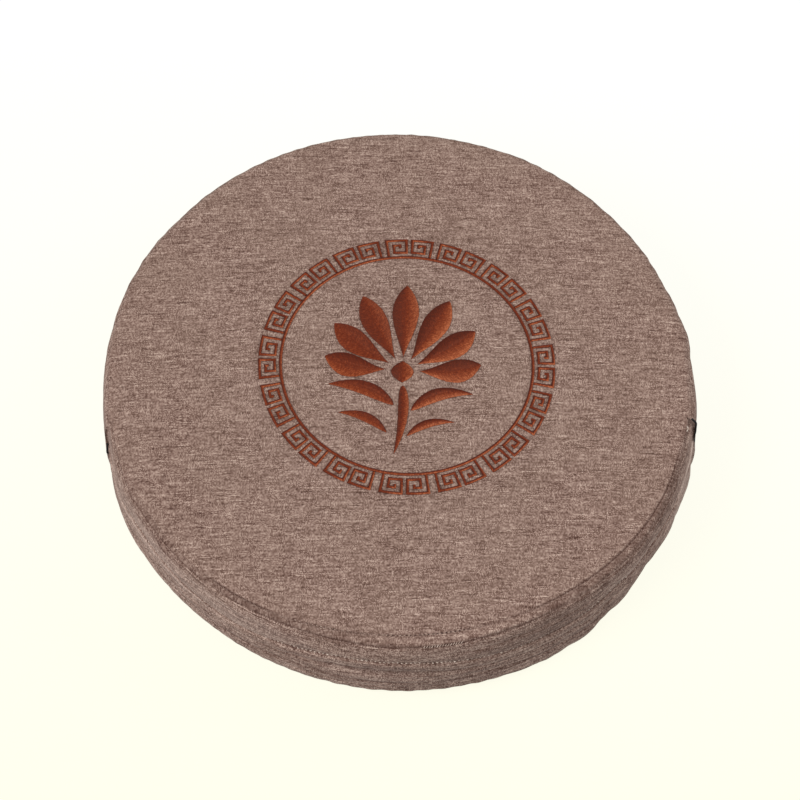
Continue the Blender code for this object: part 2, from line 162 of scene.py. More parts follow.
MOTIF_CENTRE = np.array([0.0011, 0.0042])
Stroke = namedtuple("Stroke", "name root tip bow width widest")
PETAL_HEART = np.array([0.0, -6.0])
PETAL_ROOT = 13.0
PETAL_SPREAD = 26.5
PETAL_LENGTHS = (78.0, 74.0, 67.0, 60.0)
PETAL_WIDTH = 20.0
PETAL_WIDEST = 0.62
PETAL_BOW = 1.2
LOW_STROKES = [
    Stroke("lotus_heart", (0.0, -14.6), (0.0, 4.0), 0.0, 17.0, 0.5),
    Stroke("lotus_stem", (1.0, -17.5), (-3.0, -76.0), 3.0, 8.0, 0.30),
    Stroke("lotus_leaf_left", (-5.0, -34.0), (-55.0, -19.0), -6.0, 12.0, 0.42),
    Stroke("lotus_leaf_right", (8.0, -38.0), (54.0, -21.0), 7.0, 11.0, 0.42),
    Stroke("lotus_ripple_left", (-9.0, -58.0), (-46.0, -43.0), -5.0, 8.0, 0.45),
    Stroke("lotus_ripple_right", (6.0, -60.0), (41.0, -46.0), 5.0, 7.0, 0.45),
]
SATIN_THICKNESS = 0.0013

ring_low, ring_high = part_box("circle_line")
MOVE = np.array([0.5 * (ring_low.x + ring_high.x) - RING_CENTRE[0],
                 0.5 * (ring_low.y + ring_high.y) - RING_CENTRE[1], 0.0])

# ---- How finely things are made ----
AROUND = 612                # even columns round the cover
ROW_STEP = 1.15             # millimetres between rows of the section
DOME_RINGS = 40
UNDER_RINGS = 10
JOINT_COLUMNS = np.array([-0.30, -0.15, -0.05, 0.0, 0.001, 0.06, 0.15, 0.30])   # degrees about a joint
JOINT_CLEAR = 0.45          # no even column stands nearer to a joint than this, in degrees

# ---- The cloth's fall ----
SIM_AROUND = 264
SIM_ROW_STEP = 4.6
SIM_DOME_RINGS = 22
SIM_UNDER_RINGS = 6
SIM_FRAMES = 20
PANEL_HOLD = 0.35           # how firmly the stuffing holds the panel's middle, where 1 is fixed
SIM_CAP = 0.0035            # no point of the cloth moves further than this
SIM_SHARE = 0.30            # of those moves that the filled cover keeps, drawn smooth over its stuffing
FALL_START = 0.62           # the panel's cloth stays still out to this share of its radius
FALL_FADE = 0.30

# ---- Cloth and thread ----
WEAVE_TURN = 3.85           # degrees from +X to the panel's weft
BAND_MAP = 2.0              # the band lies this far up the cloth's map, in metres, clear of the round panels
WARP_PITCH = 0.76           # millimetres from thread to thread of the cloth
WEFT_PITCH = 0.86
SATIN_PITCH = 0.42          # millimetres from thread to thread of the embroidery
STITCH_PITCH = 0.0032
STITCH_FLATNESS = 0.9       # a stitch's ends dive by this share of its thickness

# The stuffing's slow humps under the panel.
Hump = namedtuple("Hump", "azimuth radius height spread")
HUMPS = [
    Hump(35, 0.150, 0.0007, 0.060),
    Hump(150, 0.160, 0.0006, 0.055),
    Hump(205, 0.120, -0.0007, 0.060),
    Hump(268, 0.165, 0.0007, 0.050),
    Hump(318, 0.150, -0.0006, 0.060),
    Hump(95, 0.110, -0.0004, 0.070),
]


def srgb(red, green, blue):
    """Linear colour, with an alpha of 1, of screen values from 0 to 255."""
    share = np.array([red, green, blue]) / 255.0
    linear = np.where(share <= 0.04045, share / 12.92, ((share + 0.055) / 1.055) ** 2.4)
    return (*linear.tolist(), 1.0)


# ======== The cover's form ========

def waves_through(column, azimuths):
    """The smooth closed curve through a column of UNEVEN, as the sum of its Fourier waves."""
    values = np.array([getattr(row, column) for row in UNEVEN]) * MM
    waves = np.fft.rfft(values) / len(values)
    share = np.full(len(waves), 2.0)
    share[0] = 1.0
    share[-1] = 1.0
    turns = np.outer(np.radians(azimuths), np.arange(len(waves)))
    return np.real(np.exp(1j * turns) @ (share * waves))


def pulled(column, azimuths):
    """The sum of the bells that PULLS sets round the cover, at its rim or at its foot."""
    total = np.zeros(len(azimuths))
    for pull in PULLS:
        away = (azimuths - pull.azimuth + 180.0) % 360.0 - 180.0
        total += getattr(pull, column) * MM * np.exp(-(away / pull.spread) ** 2)
    return total


def is_zipped(azimuths):
    """1 round the front, between the two joints, and 0 round the back."""
    turned = np.asarray(azimuths) % 360.0
    return ((turned >= JOINT_LEFT) & (turned <= JOINT_RIGHT)).astype(float)


def behind_joint(azimuths):
    """How far the plain strip stands out: the whole step at a joint, fading away behind it."""
    turned = np.asarray(azimuths) % 360.0
    away = np.minimum((JOINT_LEFT - turned) % 360.0, (turned - JOINT_RIGHT) % 360.0)
    return JOINT_STEP * np.exp(-(away / JOINT_FADE) ** 2) * (1.0 - is_zipped(azimuths))


def section_points(azimuths):
    """Radii and heights of the SECTION rows: one column of each array for each azimuth.

    A row's radius is RADIUS less its inset, plus the uneven offsets, which pass in a straight line from
    the foot's to the rim's with height, plus what the zip gusset and the joints add.
    """
    zipped = is_zipped(azimuths)
    step = behind_joint(azimuths)
    offsets = {name: waves_through(name, azimuths) for name in ("rim", "foot", "stitch", "flap")}
    for name in ("rim", "foot"):
        offsets[name] = offsets[name] + pulled(name, azimuths)
    radii = []
    heights = []
    for row in SECTION:
        share = row.height * MM / RIM_HEIGHT
        radius = RADIUS - row.inset * MM + offsets["foot"] * (1.0 - share) + offsets["rim"] * share
        height = np.full(len(zipped), row.height * MM)
        if row.moved_by == "stitch":
            radius = radius - offsets["stitch"]
        else:
            radius = radius + step * min(1.0, row.height * MM / JOINT_FOOT)
        if row.moved_by == "flap":
            height = height + offsets["flap"] * zipped
        if row.place == "topstitching":
            height = height - STITCH_DIP * zipped * (0.3 + 0.7 * window(azimuths, 236, 344, 4.0))
        radii.append(radius + row.zipped * MM * zipped)
        heights.append(height)
    return np.array(radii), np.array(heights)


def humps(x, y):
    """The panel's slow unevenness: a sum of round bells, each with its own place, height and spread."""
    total = np.zeros_like(x)
    for hump in HUMPS:
        angle = math.radians(hump.azimuth)
        away = np.hypot(x - hump.radius * math.cos(angle), y - hump.radius * math.sin(angle))
        total = total + hump.height * np.exp(-(away / hump.spread) ** 2)
    return total


def panel_height(x, y):
    """Height of the top panel: a shallow paraboloid from the panel's edge, with the slow humps."""
    azimuths = np.degrees(np.arctan2(y, x))
    shape = azimuths.shape
    radii, heights = section_points(azimuths.ravel())
    share = np.hypot(x, y) / radii[0].reshape(shape)
    edge_fade = np.clip(1.0 - share ** 6, 0.0, 1.0)
    return heights[0].reshape(shape) + CROWN * (1.0 - share ** 2) + humps(x, y) * edge_fade


def row_plan(step):
    """How many steps lie between neighbouring rows of SECTION, for rows about step millimetres apart."""
    flat = np.array([(row.inset, row.height) for row in SECTION])
    lengths = np.hypot(*np.diff(flat, axis=0).T)
    return np.maximum(1, np.round(lengths / step)).astype(int)


def cover_grid(azimuths, row_step, dome_rings, under_rings, softened=1):
    """Points of the cover, rows from the crown's middle to the underside's, columns round it.

    The dome's rings are the panel's edge drawn in by even shares and raised on the paraboloid. Between
    rows of SECTION the points are evenly spread, and each pass of softening replaces a row by a quarter
    of each neighbour and half of itself. Returns the points and the index of each row of SECTION.
    """
    angles = np.radians(azimuths)
    radii, heights = section_points(azimuths)
    steps = row_plan(row_step)
    at = np.concatenate([[0], np.cumsum(steps)])
    rows = np.arange(at[-1] + 1)
    lower = np.clip(np.searchsorted(at, rows, side="right") - 1, 0, len(steps) - 1)
    share = ((rows - at[lower]) / steps[lower])[:, None]
    radius = radii[lower] * (1.0 - share) + radii[lower + 1] * share
    height = heights[lower] * (1.0 - share) + heights[lower + 1] * share
    shares = np.linspace(0.0, 1.0, dome_rings + 2)[1:-1, None]
    radius = np.vstack([radii[0] * shares, radius])
    dome_x = radii[0] * shares * np.cos(angles)
    dome_y = radii[0] * shares * np.sin(angles)
    height = np.vstack([panel_height(dome_x, dome_y), height])
    for _ in range(softened):
        radius[1:-1] = 0.25 * radius[:-2] + 0.5 * radius[1:-1] + 0.25 * radius[2:]
        height[1:-1] = 0.25 * height[:-2] + 0.5 * height[1:-1] + 0.25 * height[2:]
    inward = np.linspace(1.0, 0.0, under_rings + 2)[1:-1, None]
    radius = np.vstack([radius, radius[-1] * inward])
    height = np.vstack([height, height[-1] * np.ones_like(inward)])
    points = np.stack([radius * np.cos(angles), radius * np.sin(angles), height], axis=-1)
    return points, at + dome_rings


def grid_normals(points):
    """Outward normals of the cover's grid: the cross product of its down and round differences."""
    round_way = np.roll(points, -1, axis=1) - np.roll(points, 1, axis=1)
    down_way = np.gradient(points, axis=0)
    normals = np.cross(down_way, round_way)
    return normals / np.maximum(np.linalg.norm(normals, axis=-1, keepdims=True), 1e-12)


def faces_round(grid):
    """What a grid holds at the four corners of each face, where its columns close on themselves.

    The grid is of vertex numbers or of UV pairs, and the corners run down, onward, up and back.
    """
    onward = np.roll(grid, -1, axis=1)
    return np.stack([grid[:-1], grid[1:], onward[1:], onward[:-1]], axis=2)


def closed_grid_mesh(name, points, top_pole, bottom_pole):
    """A mesh of a grid that closes on itself round its columns, with a pole at each end of its rows."""
    rows, columns = points.shape[:2]
    corner = np.arange(rows * columns).reshape(rows, columns)
    onward = np.roll(corner, -1, axis=1)
    quads = faces_round(corner).reshape(-1, 4)
    top = rows * columns
    bottom = top + 1
    cap = np.stack([np.full(columns, top), corner[0], onward[0]], axis=-1)
    base = np.stack([np.full(columns, bottom), onward[-1], corner[-1]], axis=-1)
    vertices = np.concatenate([points.reshape(-1, 3), [top_pole, bottom_pole]])
    mesh = bpy.data.meshes.new(name)
    mesh.vertices.add(len(vertices))
    mesh.vertices.foreach_set("co", vertices.astype(np.float32).ravel())
    loops = np.concatenate([quads.ravel(), cap.ravel(), base.ravel()])
    sizes = np.concatenate([np.full(len(quads), 4), np.full(2 * columns, 3)])
    mesh.loops.add(len(loops))
    mesh.loops.foreach_set("vertex_index", loops.astype(np.int32))
    mesh.polygons.add(len(sizes))
    mesh.polygons.foreach_set("loop_start", np.concatenate([[0], np.cumsum(sizes)[:-1]]).astype(np.int32))
    mesh.update(calc_edges=True)
    mesh.validate()
    mesh.shade_smooth()
    return mesh


def show(name, data):
    """Puts a mesh, a light or a camera into the scene as an object."""
    piece = bpy.data.objects.new(name, data)
    bpy.context.scene.collection.objects.link(piece)
    return piece


# ======== The cloth's own fall, by simulation ========

def simulated_offsets():
    """How far the cover's cloth moves under its stuffing's pressure, on a coarse grid of its own.

    The cover is cut one and a half parts in a hundred too large, held along its seams and underneath, and
    blown from inside without gravity, so that it buckles between its seams. Offsets are capped.
    """
    azimuths = np.arange(SIM_AROUND) * 360.0 / SIM_AROUND
    points, at = cover_grid(azimuths, SIM_ROW_STEP, SIM_DOME_RINGS, SIM_UNDER_RINGS, softened=0)
    poles = [points[0].mean(axis=0), points[-1].mean(axis=0)]
    mesh = closed_grid_mesh("cover_sim", points, *poles)
    cover = show("cover_sim", mesh)
    rows = len(points)
    zipped = is_zipped(azimuths) > 0.5
    held = np.zeros((rows, SIM_AROUND))
    place = {row.place: at[k] for k, row in enumerate(SECTION)}
    held[:place["panel edge"] - 2] = PANEL_HOLD
    for name in ("topstitching", "rim seam", "foot seam"):
        held[place[name]] = 1.0
    held[place["foot seam"]:] = 1.0
    for name in ("flap's stitching", "under the flap"):
        held[place[name], zipped] = 1.0
    group = cover.vertex_groups.new(name="held")
    for weight in (PANEL_HOLD, 1.0):
        group.add(np.nonzero(held.ravel() == weight)[0].tolist(), weight, "REPLACE")
    group.add([rows * SIM_AROUND, rows * SIM_AROUND + 1], 1.0, "REPLACE")
    cloth = cover.modifiers.new("cloth", "CLOTH")
    cloth.settings.quality = 5
    cloth.settings.mass = 0.3
    cloth.settings.tension_stiffness = 15.0
    cloth.settings.compression_stiffness = 15.0
    cloth.settings.shear_stiffness = 5.0
    cloth.settings.bending_stiffness = 0.15
    cloth.settings.use_pressure = True
    cloth.settings.uniform_pressure_force = 4.0
    cloth.settings.shrink_min = -0.015
    cloth.settings.shrink_max = -0.015
    cloth.settings.vertex_group_mass = "held"
    cloth.settings.pin_stiffness = 1.0
    cloth.settings.effector_weights.gravity = 0.0
    cloth.point_cache.frame_start = 1
    cloth.point_cache.frame_end = SIM_FRAMES
    scene = bpy.context.scene
    for moment in range(1, SIM_FRAMES + 1):
        scene.frame_set(moment)
    graph = bpy.context.evaluated_depsgraph_get()
    settled = cover.evaluated_get(graph).to_mesh()
    moved = np.empty(len(settled.vertices) * 3, np.float32)
    settled.vertices.foreach_get("co", moved)
    moved = moved.reshape(-1, 3)[:rows * SIM_AROUND].reshape(rows, SIM_AROUND, 3)
    offsets = moved - points
    bpy.data.objects.remove(cover, do_unlink=True)
    bpy.data.meshes.remove(mesh)
    scene.frame_set(1)
    size = np.linalg.norm(offsets, axis=-1, keepdims=True)
    offsets = offsets * np.minimum(1.0, SIM_CAP / np.maximum(size, 1e-9))
    return points, offsets


def running_length(line):
    """Length along a line of points, from its first point to each of them."""
    return np.concatenate([[0.0], np.cumsum(np.linalg.norm(np.diff(line, axis=0), axis=1))])


def mean_section(points):
    """The mean radius and the mean height of each row of the cover."""
    return np.stack([np.hypot(points[..., 0], points[..., 1]).mean(axis=1), points[..., 2].mean(axis=1)], 1)


def path_shares(points):
    """Share of the way from the crown's middle to the underside's at each row, along the mean section."""
    mean = mean_section(points)
    lengths = running_length(mean) + mean[0, 0]
    return lengths / (lengths[-1] + mean[-1, 0])


def spread_offsets(coarse_points, offsets, fine_points, azimuths):
    """The coarse grid's offsets at the fine grid's points.

    Round the cover they are summed as Fourier waves at the fine azimuths, and down it they pass by smooth
    steps from one coarse row to the next.
    """
    outward = coarse_points * [1.0, 1.0, 0.0]
    outward /= np.maximum(np.linalg.norm(outward, axis=-1, keepdims=True), 1e-9)
    sideways = np.stack([-outward[..., 1], outward[..., 0], np.zeros(outward.shape[:2])], axis=-1)
    parts = [np.sum(offsets * outward, axis=-1), np.sum(offsets * sideways, axis=-1), offsets[..., 2]]
    coarse_at = path_shares(coarse_points)
    fine_at = path_shares(fine_points)
    angles = np.radians(azimuths)
    count = offsets.shape[1]
    fine_parts = []
    for part in parts:
        waves = np.fft.rfft(part, axis=1) / count
        waves[:, 1:] *= 2.0
        orders = np.arange(waves.shape[1])
        turned = np.real(waves @ np.exp(1j * np.outer(orders, angles)))
        lower = np.clip(np.searchsorted(coarse_at, fine_at, side="right") - 1, 0, len(coarse_at) - 2)
        share = np.clip((fine_at - coarse_at[lower]) / (coarse_at[lower + 1] - coarse_at[lower]), 0.0, 1.0)
        share = (share * share * (3.0 - 2.0 * share))[:, None]
        fine_parts.append(turned[lower] * (1.0 - share) + turned[lower + 1] * share)
    out, side, rise = fine_parts
    cosine = np.cos(angles)
    sine = np.sin(angles)
    return np.stack([out * cosine - side * sine, out * sine + side * cosine, rise], axis=-1)


# ======== Creases and puckers that the seams make ========

# Puckers beside a seam, in millimetres: depth, reach to each side, and shortest and longest wave.
Pucker = namedtuple("Pucker", "place depth reach shortest longest")
PUCKERS = [
    Pucker("topstitching", 0.10, 5.0, 3.0, 7.0),
    Pucker("rim roll, top", 0.24, 2.6, 2.2, 4.5),
    Pucker("flap's stitching", 0.14, 3.0, 3.0, 7.0),
    Pucker("under the flap", 0.12, 3.0, 3.0, 8.0),
    Pucker("foot seam", 0.10, 4.0, 5.0, 12.0),
]

# Long creases: azimuths in degrees, heights, depths and widths in millimetres, slopes in both.
Crease = namedtuple("Crease", "first last height slope depth width")
CREASES = [
    Crease(200, 226, 31.0, 0.10, 0.7, 1.6),
    Crease(206, 232, 22.0, 0.05, 0.6, 1.5),
    Crease(212, 246, 15.5, -0.06, 0.6, 1.4),
    Crease(232, 262, 30.5, 0.06, 0.7, 1.5),
    Crease(240, 276, 24.5, 0.02, 0.8, 1.5),
    Crease(250, 286, 17.5, 0.03, 0.8, 1.5),
    Crease(262, 300, 12.0, -0.02, 0.8, 1.4),
    Crease(270, 302, 30.0, -0.06, 0.7, 1.5),
    Crease(284, 318, 24.0, -0.03, 0.9, 1.6),
    Crease(292, 332, 17.0, 0.04, 0.9, 1.5),
    Crease(308, 346, 28.5, 0.05, 0.8, 1.6),
    Crease(316, 350, 12.5, 0.02, 0.8, 1.5),
    Crease(216, 250, 63.0, 0.04, 0.4, 2.0),
    Crease(284, 318, 66.0, -0.04, 0.6, 1.8),
    Crease(300, 342, 60.0, 0.03, 0.7, 1.8),
    Crease(20, 48, 40.0, 0.10, 0.5, 3.0),
    Crease(70, 110, 30.0, -0.05, 0.5, 3.0),
    Crease(128, 158, 45.0, 0.06, 0.5, 3.0),
]
CREASE_WANDER = 0.9         # millimetres up or down along a crease

# A slow swell of the upper strip: its height, its reach up and down, and its depth.
SWELL_HEIGHT = 0.058
SWELL_REACH = 0.016
SWELL_DEPTH = 0.00035


def ripple(rng, azimuths, shortest, longest, waves=14):
    """A mix of sine waves round the cover, with lengths between two in millimetres.

    Their sum is divided by the root of their number, so that its mean square is about a half.
    """
    total = np.zeros_like(azimuths)
    for _ in range(waves):
        turns = round(2.0 * math.pi * RADIUS / (rng.uniform(shortest, longest) * MM))
        total = total + np.sin(np.radians(azimuths) * turns + rng.uniform(0.0, 2.0 * math.pi))
    return total / math.sqrt(waves)


def window(azimuths, first, last, fade=5.0):
    """1 between two azimuths and 0 away from them, with smooth ends."""
    middle = 0.5 * (first + last)
    away = np.abs((azimuths - middle + 180.0) % 360.0 - 180.0)
    share = np.clip((0.5 * (last - first) + fade - away) / (2.0 * fade), 0.0, 1.0)
    return share * share * (3.0 - 2.0 * share)


def gathered(points, normals, azimuths, at):
    """Moves the cover along its normals: puckers at its seams, long creases, and a slow swell.

    Puckers are short waves round the cover, deepest beside a seam and dying away from it. A crease is a
    hollow with the profile of a bell about a line that climbs slowly round the cover, and the swell is a
    bell of long waves about SWELL_HEIGHT.
    """
    rng = np.random.default_rng(31)
    places = {row.place: at[k] for k, row in enumerate(SECTION)}
    lengths = running_length(mean_section(points))
    shift = np.zeros(points.shape[:2])
    for pucker in PUCKERS:
        away = np.abs(lengths - lengths[places[pucker.place]])
        strength = window(azimuths, 204, 262, 12.0) * 0.6 + 0.4
        if pucker.place != "foot seam":
            strength = strength * (0.15 + 0.85 * is_zipped(azimuths))
        bell = np.exp(-(away / (pucker.reach * MM)) ** 2)
        waves = ripple(rng, azimuths, pucker.shortest, pucker.longest)
        shift += pucker.depth * MM * bell[:, None] * waves * strength
    height = points[..., 2]
    on_band = np.zeros(len(points))
    on_band[places["band head"]:places["band foot"] + 1] = 1.0
    for crease in CREASES:
        middle = 0.5 * (crease.first + crease.last)
        along = (azimuths - middle + 180.0) % 360.0 - 180.0
        wander = CREASE_WANDER * ripple(rng, azimuths, 60.0, 160.0, 5)
        line = (crease.height + crease.slope * along + wander) * MM
        bell = np.exp(-((height - line) / (crease.width * MM)) ** 2)
        ends = window(azimuths, crease.first, crease.last, 7.0)
        shift -= crease.depth * MM * bell * ends * on_band[:, None]
    slow = ripple(rng, azimuths, 45.0, 140.0, 8)
    swell = np.exp(-((height - SWELL_HEIGHT) / SWELL_REACH) ** 2) * on_band[:, None]
    shift += SWELL_DEPTH * slow * swell
    return points + normals * shift[..., None]


# ======== Building the cover ========

def cover_azimuths():
    """Even columns, and a close set of them on each side of the two joints."""
    even = np.arange(AROUND) * 360.0 / AROUND
    extra = np.concatenate([JOINT_LEFT - JOINT_COLUMNS, JOINT_RIGHT + JOINT_COLUMNS])
    clear = np.all(np.abs(even[:, None] - np.array([JOINT_LEFT, JOINT_RIGHT])) > JOINT_CLEAR, axis=1)
    return np.unique(np.concatenate([even[clear], extra]))


azimuths = cover_azimuths()
cover, at = cover_grid(azimuths, ROW_STEP, DOME_RINGS, UNDER_RINGS)
place = {row.place: at[k] for k, row in enumerate(SECTION)}
normals = grid_normals(cover)
cover = gathered(cover, normals, azimuths, at)
sim_points, sim_offsets = simulated_offsets()
fall = spread_offsets(sim_points, sim_offsets, cover, azimuths)
falls = np.ones(len(cover))
panel_share = np.linspace(0.0, 1.0, place["panel edge"] + 1)
falls[:place["panel edge"] + 1] = np.clip((panel_share - FALL_START) / FALL_FADE, 0.0, 1.0)
falls[place["foot seam"]:] = 0.0
cover = cover + fall * SIM_SHARE * falls[:, None, None]
cover[..., 2] = np.maximum(cover[..., 2], 0.0)
normals = grid_normals(cover)
middle_height = float(panel_height(np.array([0.0]), np.array([0.0]))[0])
cover_mesh = closed_grid_mesh("cushion_cover", cover + MOVE,
                              [MOVE[0], MOVE[1], middle_height], [MOVE[0], MOVE[1], 0.0])


def cloth_coordinates(mesh):
    """The cover's UV map, in metres of cloth.

    The top panel and the underside lie flat, turned by WEAVE_TURN. The band is unrolled: across is the
    way round at RADIUS, and down from BAND_MAP is each column's own length from the rim seam.
    """
    columns = len(azimuths)
    edge = place["rim seam"]
    turn = math.radians(WEAVE_TURN)
    flat = cover[..., :2]
    turned = np.stack([flat[..., 0] * math.cos(turn) + flat[..., 1] * math.sin(turn),
                       flat[..., 1] * math.cos(turn) - flat[..., 0] * math.sin(turn)], axis=-1)
    steps = np.hypot(np.diff(np.hypot(flat[..., 0], flat[..., 1]), axis=0), np.diff(cover[..., 2], axis=0))
    down = np.concatenate([np.zeros((1, columns)), np.cumsum(steps, axis=0)])
    down = down - down[edge]
    down = np.concatenate([down, down[:, :1]], axis=1)
    way = np.radians(np.concatenate([azimuths, [360.0 + azimuths[0]]])) * RADIUS
    band = np.stack(np.broadcast_arrays(way[None, :], BAND_MAP - down), axis=-1)
    faces = faces_round(turned)
    rows = slice(edge, place["foot seam"])
    down_one = slice(edge + 1, place["foot seam"] + 1)
    faces[rows] = np.stack([band[rows, :-1], band[down_one, :-1], band[down_one, 1:], band[rows, 1:]], axis=2)
    middle = np.zeros((columns, 2))
    cap = np.stack([middle, turned[0], np.roll(turned[0], -1, axis=0)], axis=1)
    base = np.stack([middle, np.roll(turned[-1], -1, axis=0), turned[-1]], axis=1)
    uv = np.concatenate([faces.reshape(-1, 2), cap.reshape(-1, 2), base.reshape(-1, 2)])
    layer = mesh.uv_layers.new(name="cloth")
    layer.uv.foreach_set("vector", uv.astype(np.float32).ravel())


def seam_shade(mesh):
    """Painted shade and highlight: how dark painted shade makes the seams' hollows and the strips beside them
    at each point of the cover, and how much painted highlight a fold's edge gets.

    The value is up to 1 of painted shade in a hollow and down to -1 of painted highlight on an edge, and the
    shade wins where both meet. A line is a bell across the rows beside its place, and a strip has one value
    between its two places.
    """
    rng = np.random.default_rng(7)
    dark = np.zeros(cover.shape[:2])
    pale = np.zeros(cover.shape[:2])
    rows = np.arange(len(cover))

    def line(shade, name, half_rows, strength):
        bell = np.exp(-((rows - place[name]) / half_rows) ** 2)[:, None]
        np.maximum(shade, bell * np.clip(strength, 0.0, 1.0), out=shade)

    def strip(shade, first, last, strength):
        inside = ((rows > place[first]) & (rows < place[last]))[:, None]
        np.maximum(shade, inside * np.clip(strength, 0.0, 1.0), out=shade)

    def between(first, last, fade):
        return window(azimuths, first, last, fade)

    patchy = np.clip(0.5 + 0.5 * ripple(rng, azimuths, 18.0, 90.0, 8), 0.0, 1.0)
    streaks = np.clip(0.5 + 0.5 * ripple(rng, azimuths, 6.0, 30.0, 10), 0.0, 1.0)
    fine = np.clip(0.5 + 0.5 * ripple(rng, azimuths, 2.5, 9.0, 10), 0.0, 1.0)
    zipped = is_zipped(azimuths)
    far_left = between(200, 232, 10.0)
    left = between(208, 262, 8.0)
    front = between(250, 300, 6.0)
    right = between(300, 348, 5.0)

    # Painted shade in the topstitching's groove and on the roll outside it.
    groove = 0.10 + 0.95 * between(234, 247, 3.0) + 0.9 * right + 0.4 * front * (0.5 + fine)
    line(dark, "topstitching", 0.8, zipped * groove)
    strip(dark, "topstitching", "rim seam", 0.30 * left * (0.4 + fine) + 0.34 * right * (0.5 + streaks))
    strip(dark, "rim roll, shoulder", "rim seam", 0.30 * between(256, 304, 6.0) * (0.5 + 0.5 * fine))
    line(dark, "rim roll, under", 1.0, zipped * 0.3 * fine)

    # Painted shade in the rim seam, and on the strip under it.
    line(dark, "rim seam", 0.9, 0.25 + zipped * (1.0 - 0.8 * right) * (0.35 * patchy + 0.4 * fine))
    line(dark, "rim seam", 1.2, 0.60 * between(204, 246, 8.0) * (0.4 + 0.6 * fine))
    line(dark, "rim seam", 1.1, between(248, 304, 4.0) * (0.62 + 0.30 * fine))
    line(dark, "rim seam", 1.5, between(250, 292, 5.0) * (0.2 + 0.7 * fine) * (0.6 + 0.5 * streaks))
    strip(dark, "rim seam", "upper strip", 0.30 * right * (0.5 + streaks))
    strip(dark, "rim seam", "upper strip", 0.26 * between(202, 236, 8.0) * (0.4 + fine))
    strip(dark, "upper strip", "flap's stitching", 0.24 * between(290, 318, 8.0) * (0.4 + fine))

    # Painted shade at the flap, the lower strip's crease and the foot seam.
    line(dark, "flap's stitching", 0.8, zipped * (0.20 + 0.2 * patchy + 0.2 * front))
    line(dark, "flap's stitching", 0.9, 0.80 * between(226, 264, 6.0) * (0.5 + 0.5 * streaks))
    line(dark, "flap's stitching", 1.1, 0.85 * between(294, 342, 6.0) * (0.6 + 0.4 * patchy))
    line(dark, "under the flap", 1.3, zipped * (0.50 + 0.3 * patchy))
    strip(dark, "flap's edge", "foot seam", 0.05 * left)
    line(dark, "lower strip, crease", 1.1, zipped * (0.20 + 0.3 * patchy + 0.2 * fine))
    line(dark, "foot seam", 1.4, np.full(len(azimuths), 0.6))

    # Where a fold's edge or a strip turned to the light is paler.
    line(pale, "topstitching, outer lip", 0.6, 0.6 * right * (2.0 * streaks - 0.9))
    strip(pale, "band head, lip", "flap's stitching", 0.10 * far_left)
    strip(pale, "upper strip", "above the flap's stitching", 0.09 * between(212, 252, 8.0))
    strip(pale, "upper strip, fullest", "above the flap's stitching",
          0.30 * between(308, 346, 8.0) * (0.4 + 0.3 * patchy + 0.3 * fine))
    line(pale, "flap, upper lip", 1.0,
         between(342, 358, 5.0) * (0.55 + 0.45 * patchy) + 0.35 * between(200, 236, 5.0))
    strip(pale, "flap", "band foot", 0.10 * far_left)
    strip(pale, "flap, fullest", "band foot", 0.26 * between(338, 358, 6.0))

    poles = [0.0, 0.0]
    values = np.concatenate([(dark - pale * (1.0 - dark)).ravel(), poles]).astype(np.float32)
    attribute = mesh.attributes.new("seam_shade", "FLOAT", "POINT")
    attribute.data.foreach_set("value", values)


cloth_coordinates(cover_mesh)
# Painted shade and highlight at the seams, kept as a point attribute for the cloth's colour.
seam_shade(cover_mesh)
cushion = show("cushion_cover", cover_mesh)


# ======== Embroidery ========

def is_inside_out(points):
    """Whether a shell's faces, in the order of faces_round, look inwards, so that its volume is below 0.

    A face adds its middle, measured from the shell's, dotted with the cross product of its diagonals.
    """
    corners = faces_round(points - points.mean(axis=(0, 1)))
    area = np.cross(corners[:, :, 2] - corners[:, :, 0], corners[:, :, 3] - corners[:, :, 1])
    return np.sum(corners.mean(axis=2) * area) < 0.0


def turned_over(corners, over):
    """The corners of faces, taken the other way round from the same first corner where over is true."""
    return np.roll(corners[:, ::-1], 1, axis=1) if over else corners


def show_shells(name, shells, closed=False):
    """Closed shells from stacks of rings, joined in a single piece, with their faces outwards.

    Each shell is its points, as stations by ring points by 3, and its UV map and its tone, laid out alike; on
    the satin the tone is painted light and shade.
    Shells that don't close on themselves along their stations get a fan at each end, about the end
    ring's mean.
    """
    vertices, faces, uvs, shade = [], [], [], []
    start = 0
    for points, uv, tone in shells:
        stations, around = points.shape[:2]
        corner = np.arange(stations * around).reshape(stations, around) + start
        vertices.append(points.reshape(-1, 3))
        shade.append(tone.ravel())
        start += stations * around
        if closed:
            points, corner, uv = [np.concatenate([grid, grid[:1]]) for grid in (points, corner, uv)]
        inside_out = is_inside_out(points)
        faces += turned_over(faces_round(corner).reshape(-1, 4), inside_out).tolist()
        uvs.append(turned_over(faces_round(uv).reshape(-1, 4, 2), inside_out).reshape(-1, 2))
        for end in (() if closed else (0, -1)):
            fan = np.stack([np.full(around, start), corner[end], np.roll(corner[end], -1)], axis=1)
            middle = np.broadcast_to(uv[end].mean(axis=0), (around, 2))
            fan_uv = np.stack([middle, uv[end], np.roll(uv[end], -1, axis=0)], axis=1)
            over = inside_out != (end == -1)
            faces += turned_over(fan, over).tolist()
            uvs.append(turned_over(fan_uv, over).reshape(-1, 2))
            vertices.append(points[end].mean(axis=0)[None])
            shade.append(tone[end].mean()[None])
            start += 1
    mesh = bpy.data.meshes.new(name)
    mesh.from_pydata(np.concatenate(vertices).tolist(), [], faces)
    layer = mesh.uv_layers.new(name="thread")
    layer.uv.foreach_set("vector", np.concatenate(uvs).astype(np.float32).ravel())
    attribute = mesh.attributes.new("tone", "FLOAT", "POINT")
    attribute.data.foreach_set("value", np.concatenate(shade).astype(np.float32))
    mesh.shade_smooth()
    return show(name, mesh)


PAINTED_LIGHT_WAY = np.array([0.75, -0.66])      # painted highlight: a satin side that faces this way is painted paler, and the other side darker
